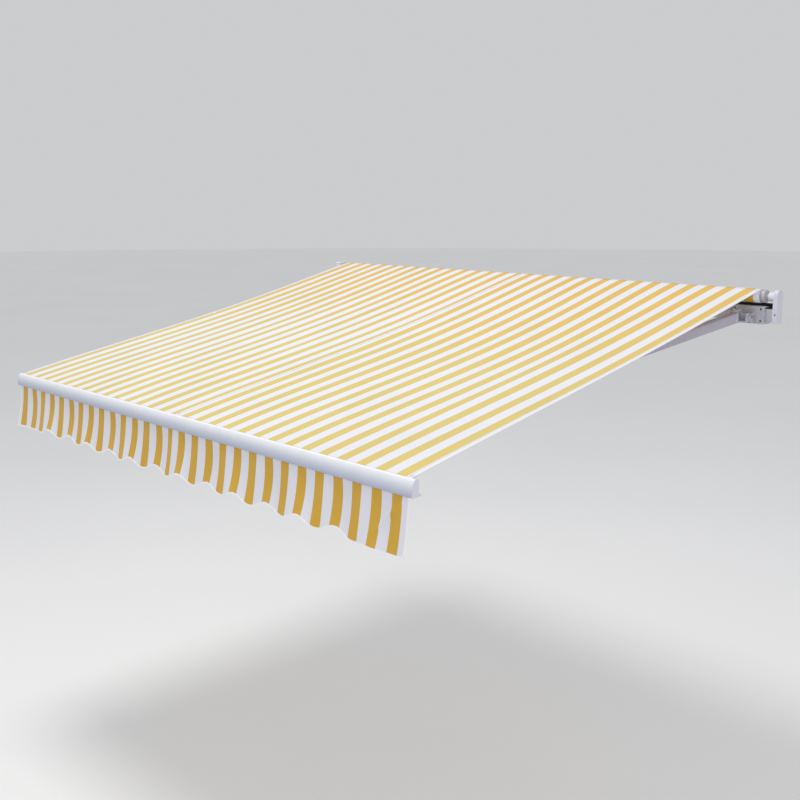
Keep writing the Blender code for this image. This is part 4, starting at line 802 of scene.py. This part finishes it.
bell_front = smooth_line(
    [
        (-0.0038, 0.0016),
        (-0.0075, 0.0022),
        (-0.0108, 0.0012),
        (-0.0140, -0.0020),
        (-0.0172, -0.0080),
        (-0.0205, -0.0160),
        (-0.0230, -0.0250),
        (-0.0246, -0.0350),
        (-0.0256, -0.0450),
        (-0.0260, -0.0530),
        (-0.0250, -0.0575),
        (-0.0226, BELL_FOOT),
    ],
    4,
)
bell_back = (
    smooth_line([(0.0040, -0.0575), (0.0145, -0.0550), (0.0160, -0.0530)], 3)
    + smooth_line([(0.0125, -0.0490), (0.0065, -0.0455), (0.0030, -0.0415)], 4)
    + [(0.0030, -0.0030), (0.0018, 0.0004), (-0.0012, 0.0010)]
)
lean = math.degrees(math.asin(MOUTH_HALF / BEAD_RADIUS))
bell = bell_front + [(FOOT_BEAD[0] - MOUTH_HALF, BELL_FOOT)]
bell += bead_slot(FOOT_BEAD, 270 - lean, -90 + lean)
bell += [(FOOT_BEAD[0] + MOUTH_HALF, BELL_FOOT)] + bell_back
bell += bead_slot(TOP_BEAD, 90 - lean, lean - 270)


def drawn_out(name, outline, start, end, finish, slot, stands_for, ease=0.0):
    """A flat outline, drawn out along X as the front bar is."""
    flat = bpy.data.curves.new(name, "CURVE")
    flat.dimensions = "2D"
    flat.fill_mode = "BOTH"
    flat.extrude = (end - start) / 2
    spline = flat.splines.new("POLY")
    spline.points.add(len(outline) - 1)
    for point, (y, z) in zip(spline.points, outline):
        point.co = (y, z, 0, 1)
    spline.use_cyclic_u = True
    guide = bpy.data.objects.new(name, flat)
    bpy.context.scene.collection.objects.link(guide)
    bpy.context.view_layer.update()
    mesh = bpy.data.meshes.new_from_object(guide.evaluated_get(bpy.context.evaluated_depsgraph_get()))
    bpy.data.objects.remove(guide, do_unlink=True)
    shape = bmesh.new()
    shape.from_mesh(mesh)
    bmesh.ops.remove_doubles(shape, verts=shape.verts, dist=1e-6)
    turn = Matrix(((0, 0, 1, 0), (1, 0, 0, 0), (0, 1, 0, 0), (0, 0, 0, 1)))
    shift = Matrix.Translation(FRONT_BAR + Vector(((start + end) / 2, 0, 0)))
    bmesh.ops.transform(shape, matrix=shift @ turn, verts=shape.verts)
    bmesh.ops.recalc_face_normals(shape, faces=shape.faces)
    if ease:
        ease_edges(shape, 1.2, ease)
    return built(name, shape, finish, "front_rail", stands_for)


front_white = Finish("front_enamel")
front_place = front_white.place()
# Painted light and shade: lighter towards the top and bluer grey towards the foot, by height above the foot.
front_height = front_white.measure(front_place, "Z") - (FRONT_BAR.z + BELL_FOOT)
painted_top_light = front_white.ramp(front_height / SHADE_HEIGHT, (0.05, 0.0), (0.5, 0.5), (0.95, 1.0))
front_dust = front_white.ramp(front_white.noise(front_place, 30.0, 5.0, 0.6), (0.45, 0.0), (0.75, 1.0))
front_tone = front_white.mix(srgb(176, 184, 206), srgb(248, 249, 253), painted_top_light)
front_tone = front_white.mix(front_tone, srgb(176, 174, 172), front_dust * 0.12)
front_skin = front_white.bump(front_white.noise(front_place, 480.0, 2.0), 0.12, 0.0003)
front_white.shade(Coat_Weight=0.35, Coat_Roughness=0.12)
front_white.shade(Base_Color=front_tone, Roughness=0.26 + front_dust * 0.15, Normal=front_skin)
drawn_out(
    "front_bar_extrusion",
    bell,
    -FRONT_HALF,
    FRONT_HALF,
    front_white.material,
    "white_enamel",
    ("front_bar",),
)
cap_start = FRONT_HALF + CAP_GAP
cap_end = cap_start + CAP_THICKNESS
for side, way in SIDES.items():
    drawn_out(
        f"front_cap_{side}",
        bell_front + bell_back,
        *sorted((way * cap_start, way * cap_end)),
        cover_plastic,
        "white_plastic",
        (f"front_bar_cap_{side}",),
        0.0008,
    )

# Valance. A striped skirt with a wavy hem hangs from the front bar's lower slot on a sewn bead.
# Its hem and sides are bound with white tape, stitched through.
VALANCE_LONG = 0.205
VALANCE_SHORT = 0.177
VALANCE_CUT = VALANCE_LONG + 0.006
VALANCE_WAVE = 0.200
VALANCE_SWEEP = 0.028
VALANCE_ROWS = 26
IN_THE_SLOT = 0.004
# The skirt sways out at every other wave, bellies, flutters, and has a slanting crease at its right.
SWAY = 0.006
BELLY = 0.0034
FLUTTER = 0.0018
CREASE_TOP = 1.435
CREASE_FOOT = 1.270
CREASE_DEPTH = 0.85
CREASE_HEIGHT = 0.0055
CREASE_WIDTH = 0.012
# Cloth that the ripples take up.
RIPPLE_SPARE = 1.012
SKIRT_Y = FRONT_BAR.y + FOOT_BEAD[0]
SKIRT_TOP = FRONT_BAR.z + BELL_FOOT + IN_THE_SLOT
wave_start = STRIPE_EDGE + 2 * STRIPE_REPEAT + STRIPE_REPEAT / 4 - HALF_WIDTH
wave_end = HALF_WIDTH - STRIPE_EDGE - 2 * STRIPE_REPEAT - STRIPE_REPEAT / 4
wave_count = round((wave_end - wave_start) / VALANCE_WAVE)


def skirt_drop(x):
    """How far the wavy hem hangs below the front bar."""
    if x <= wave_start or x >= wave_end:
        return VALANCE_LONG
    phase = math.tau * wave_count * (x - wave_start) / (wave_end - wave_start)
    return (VALANCE_LONG + VALANCE_SHORT) / 2 + (VALANCE_LONG - VALANCE_SHORT) / 2 * math.cos(phase)


def skirt_at(x, share):
    """The valance's middle surface, share of the way down."""
    billow = SWAY * math.sin(math.pi * x / VALANCE_WAVE) * share
    billow += BELLY * math.sin(math.tau * x / VALANCE_WAVE + 1.2) * math.sin(math.pi * share)
    billow += FLUTTER * math.sin(x * 53.0 + 2.0 * share) * share * share
    from_crease = (x - CREASE_TOP) + (CREASE_TOP - CREASE_FOOT) * share / CREASE_DEPTH
    fade = max(0.0, math.sin(math.pi * min(share / CREASE_DEPTH, 1.0)))
    billow += CREASE_HEIGHT * math.exp(-((from_crease / CREASE_WIDTH) ** 2)) * fade
    out = VALANCE_SWEEP * share * share + billow
    return Vector((x, SKIRT_Y - out, SKIRT_TOP - (skirt_drop(x) + IN_THE_SLOT) * share))


skirt, skirt_length = cloth(
    "valance_cloth",
    columns,
    VALANCE_ROWS,
    lambda x, row: skirt_at(x, row / VALANCE_ROWS),
    striped,
    "front_rail",
    FABRIC_THICKNESS,
    ("valance",),
)
# The folded tape: its width, half its thickness, how far its nose stands past the cloth's edge,
# and how deep its rounding goes. On the sides it runs between these shares of the way down.
BINDING = 0.0068
BINDING_HALF = 0.0016
BINDING_NOSE = 0.0006
BINDING_ROUND = 0.0008
SIDE_TOP = 0.03
SIDE_END = 0.96
SIDE_STEPS = 24
HEM_STITCH_IN = 0.0016
binding_tape = Finish("binding_tape")
binding_rib = binding_tape.noise(binding_tape.place(), 420.0, 3.0, 0.6)
binding_tone = binding_tape.mix(srgb(253, 253, 254), srgb(236, 236, 242), binding_rib)
binding_skin = binding_tape.bump(binding_rib, 0.3, 0.0004)
binding_tape.shade(Base_Color=binding_tone, Roughness=0.7 + binding_rib * 0.2, Normal=binding_skin)


def bound_edge(name, path, inward):
    """Tape folded round an edge of the valance. path runs along the edge, inward into the cloth."""
    shape = bmesh.new()
    rings = []
    for index, point in enumerate(path):
        along = (path[min(index + 1, len(path) - 1)] - path[max(index - 1, 0)]).normalized()
        into = inward(index).normalized()
        half = along.cross(into).normalized() * BINDING_HALF
        profile = [
            point + into * BINDING + half * 0.8,
            point + into * BINDING_ROUND + half,
            point - into * BINDING_NOSE,
            point + into * BINDING_ROUND - half,
            point + into * BINDING - half * 0.8,
        ]
        rings.append([shape.verts.new(place) for place in profile])
    for before, after in zip(rings, rings[1:]):
        for start in range(len(before)):
            other = (start + 1) % len(before)
            shape.faces.new((before[start], before[other], after[other], after[start]))
    shape.faces.new(rings[0])
    shape.faces.new(rings[-1])
    bmesh.ops.recalc_face_normals(shape, faces=shape.faces)
    return built(name, shape, binding_tape.material, "front_rail")


def up_from_hem(x):
    """From the hem into the skirt above it."""
    return skirt_at(x, 0.96) - skirt_at(x, 1.0)


hem_path = [skirt_at(x, 1.0) for x in columns]
bindings = [bound_edge("valance_binding", hem_path, lambda index: up_from_hem(columns[index]))]
for side, way in SIDES.items():
    shares = [SIDE_TOP + (SIDE_END - SIDE_TOP) * step / SIDE_STEPS for step in range(SIDE_STEPS + 1)]
    side_path = [skirt_at(way * HALF_WIDTH, share) for share in shares]
    inward = Vector((-way, 0, 0))
    bindings.append(bound_edge(f"valance_side_binding_{side}", side_path, lambda index: inward))

hem_stitches = [
    skirt_at(x, 1.0) + up_from_hem(x).normalized() * (BINDING - HEM_STITCH_IN) + Vector((0, -BINDING_HALF, 0))
    for x in columns
]
valance_stitches = stitched("valance_stitches", [hem_stitches], 0.0045, 0.003, "front_rail")
skirt_area = sum(
    (right - left) * (skirt_drop(left) + skirt_drop(right) + 2 * IN_THE_SLOT) / 2
    for left, right in zip(columns, columns[1:])
)
min(skirt_area * RIPPLE_SPARE, FABRIC_WIDTH * VALANCE_CUT)

# Arm brackets. A cast hook grips the torsion bar with four screws. Between its cheeks a tilting
# fork sits on a bolt, which sets the slope of the awning, and carries the arm's shoulder pin.
ARM_GREY = srgb(180, 175, 190)
# The four screws go through the clamp's front wall, two above and two below the bar's middle.
CLAMP_PLACE = 1.393
CLAMP_WALL = 0.012
CLAMP_FIT = 0.0003
CLAMP_SCREW_SUNK = 0.0052
CLAMP_SCREW_WIDE = 0.064
CLAMP_SCREW_HEIGHTS = (0.028, -0.026)
black_steel = plated("black_steel", (0.10, 0.10, 0.105, 1.0), 0.45)
arm_enamel = enamel("arm_enamel", ARM_GREY, 0.34)
cast_grey = enamel("cast_arm_parts", srgb(190, 189, 199), 0.38, 2.0)
clamp_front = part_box("torsion_bar")[0][1] - CLAMP_FIT - CLAMP_WALL
for side, way in SIDES.items():
    eased(f"shoulder_clamp_{side}", cast_grey, "wall_frame", 0.0012)
    eased(f"pitch_fork_{side}", cast_grey, f"pitch_block_{side}", 0.0010)
    dress(zinc, f"pitch_bolt_{side}", f"shoulder_pin_{side}", f"elbow_pin_{side}", f"front_pin_{side}")
    holes = [
        (way * CLAMP_PLACE + along, clamp_front + CLAMP_SCREW_SUNK, height)
        for along in (-CLAMP_SCREW_WIDE, CLAMP_SCREW_WIDE)
        for height in CLAMP_SCREW_HEIGHTS
    ]
    screwed(f"clamp_screws_{side}", holes, 0.004, 0.002, black_steel)

# Arms. Each arm is two aluminium box tubes on cast ends. The elbow's fork and tongue turn on a
# steel pin, and a tension spring in the inner tube pushes the front bar out.
spring_steel = plated("spring_steel", (0.32, 0.32, 0.33, 1.0), 0.4)
for side in SIDES:
    dress(arm_enamel, f"inner_arm_{side}", f"outer_arm_{side}")
    dress(spring_steel, f"arm_spring_{side}")
    eased(f"inner_arm_shoulder_end_{side}", cast_grey, f"inner_{side}", 0.0010)
    eased(f"elbow_fork_{side}", cast_grey, f"inner_{side}", 0.0010)
    eased(f"elbow_tongue_{side}", cast_grey, f"outer_{side}", 0.0010)
    eased(f"outer_arm_front_end_{side}", cast_grey, f"outer_{side}", 0.0010)
    eased(f"front_bracket_{side}", cast_grey, "front_rail", 0.0008)

# Studio. A wide pale floor far below, soft light from above and in front, and the camera where
# the photograph was taken from.
FLOOR_RADIUS = 60.0
FLOOR_HEIGHT = -2.4
floor_finish = Finish("studio_floor")
floor_cloud = floor_finish.noise(floor_finish.place(), 0.4)
floor_tone = floor_finish.mix(srgb(250, 250, 250), srgb(244, 244, 245), floor_cloud)
floor_finish.shade(Base_Color=floor_tone, Roughness=0.9)
floor_shape = bmesh.new()
bmesh.ops.create_circle(floor_shape, cap_ends=True, segments=96, radius=FLOOR_RADIUS)
bmesh.ops.translate(floor_shape, vec=(0, 0, FLOOR_HEIGHT), verts=floor_shape.verts)
floor_mesh = bpy.data.meshes.new("studio_floor")
floor_shape.to_mesh(floor_mesh)
floor_shape.free()
floor_mesh.materials.append(floor_finish.material)
floor = bpy.data.objects.new("studio_floor", floor_mesh)
bpy.context.scene.collection.objects.link(floor)


def soft_light(name, place, aim, size, power, colour):
    """A round soft box that shines at a point."""
    lamp = bpy.data.lights.new(name, "AREA")
    lamp.shape = "DISK"
    lamp.size = size
    lamp.energy = power
    lamp.color = colour
    holder = bpy.data.objects.new(name, lamp)
    bpy.context.scene.collection.objects.link(holder)
    holder.location = place
    holder.rotation_euler = (Vector(aim) - Vector(place)).to_track_quat("-Z", "Y").to_euler()


soft_light(
    "key_light",
    place=(-0.8, -2.6, 6.0),
    aim=(0, -1.2, -0.2),
    size=2.6,
    power=230.0,
    colour=(1.0, 0.985, 0.96),
)
soft_light(
    "fill_light",
    place=(5.5, -4.0, 1.2),
    aim=(0.6, -1.2, -0.2),
    size=3.5,
    power=58.0,
    colour=(0.93, 0.95, 1.0),
)
world = bpy.data.worlds.new("studio_air")
world.use_nodes = True
sky = world.node_tree.nodes["Background"]
sky.inputs["Color"].default_value = (0.97, 0.98, 1.0, 1.0)
sky.inputs["Strength"].default_value = 0.62
bpy.context.scene.world = world
bpy.context.scene.view_settings.view_transform = "Standard"

CAMERA_PLACE = (3.807, -4.596, 0.515)
LOOKING_DOWN = 10.71
LOOKING_LEFT = 46.52
lens = bpy.data.cameras.new("camera")
lens.lens = 47.52
lens.sensor_width = 36.0
camera = bpy.data.objects.new("camera", lens)
camera.location = CAMERA_PLACE
camera.rotation_euler = (math.radians(90 - LOOKING_DOWN), 0.0, math.radians(LOOKING_LEFT))
bpy.context.scene.collection.objects.link(camera)
bpy.context.scene.camera = camera

bpy.context.view_layer.update()
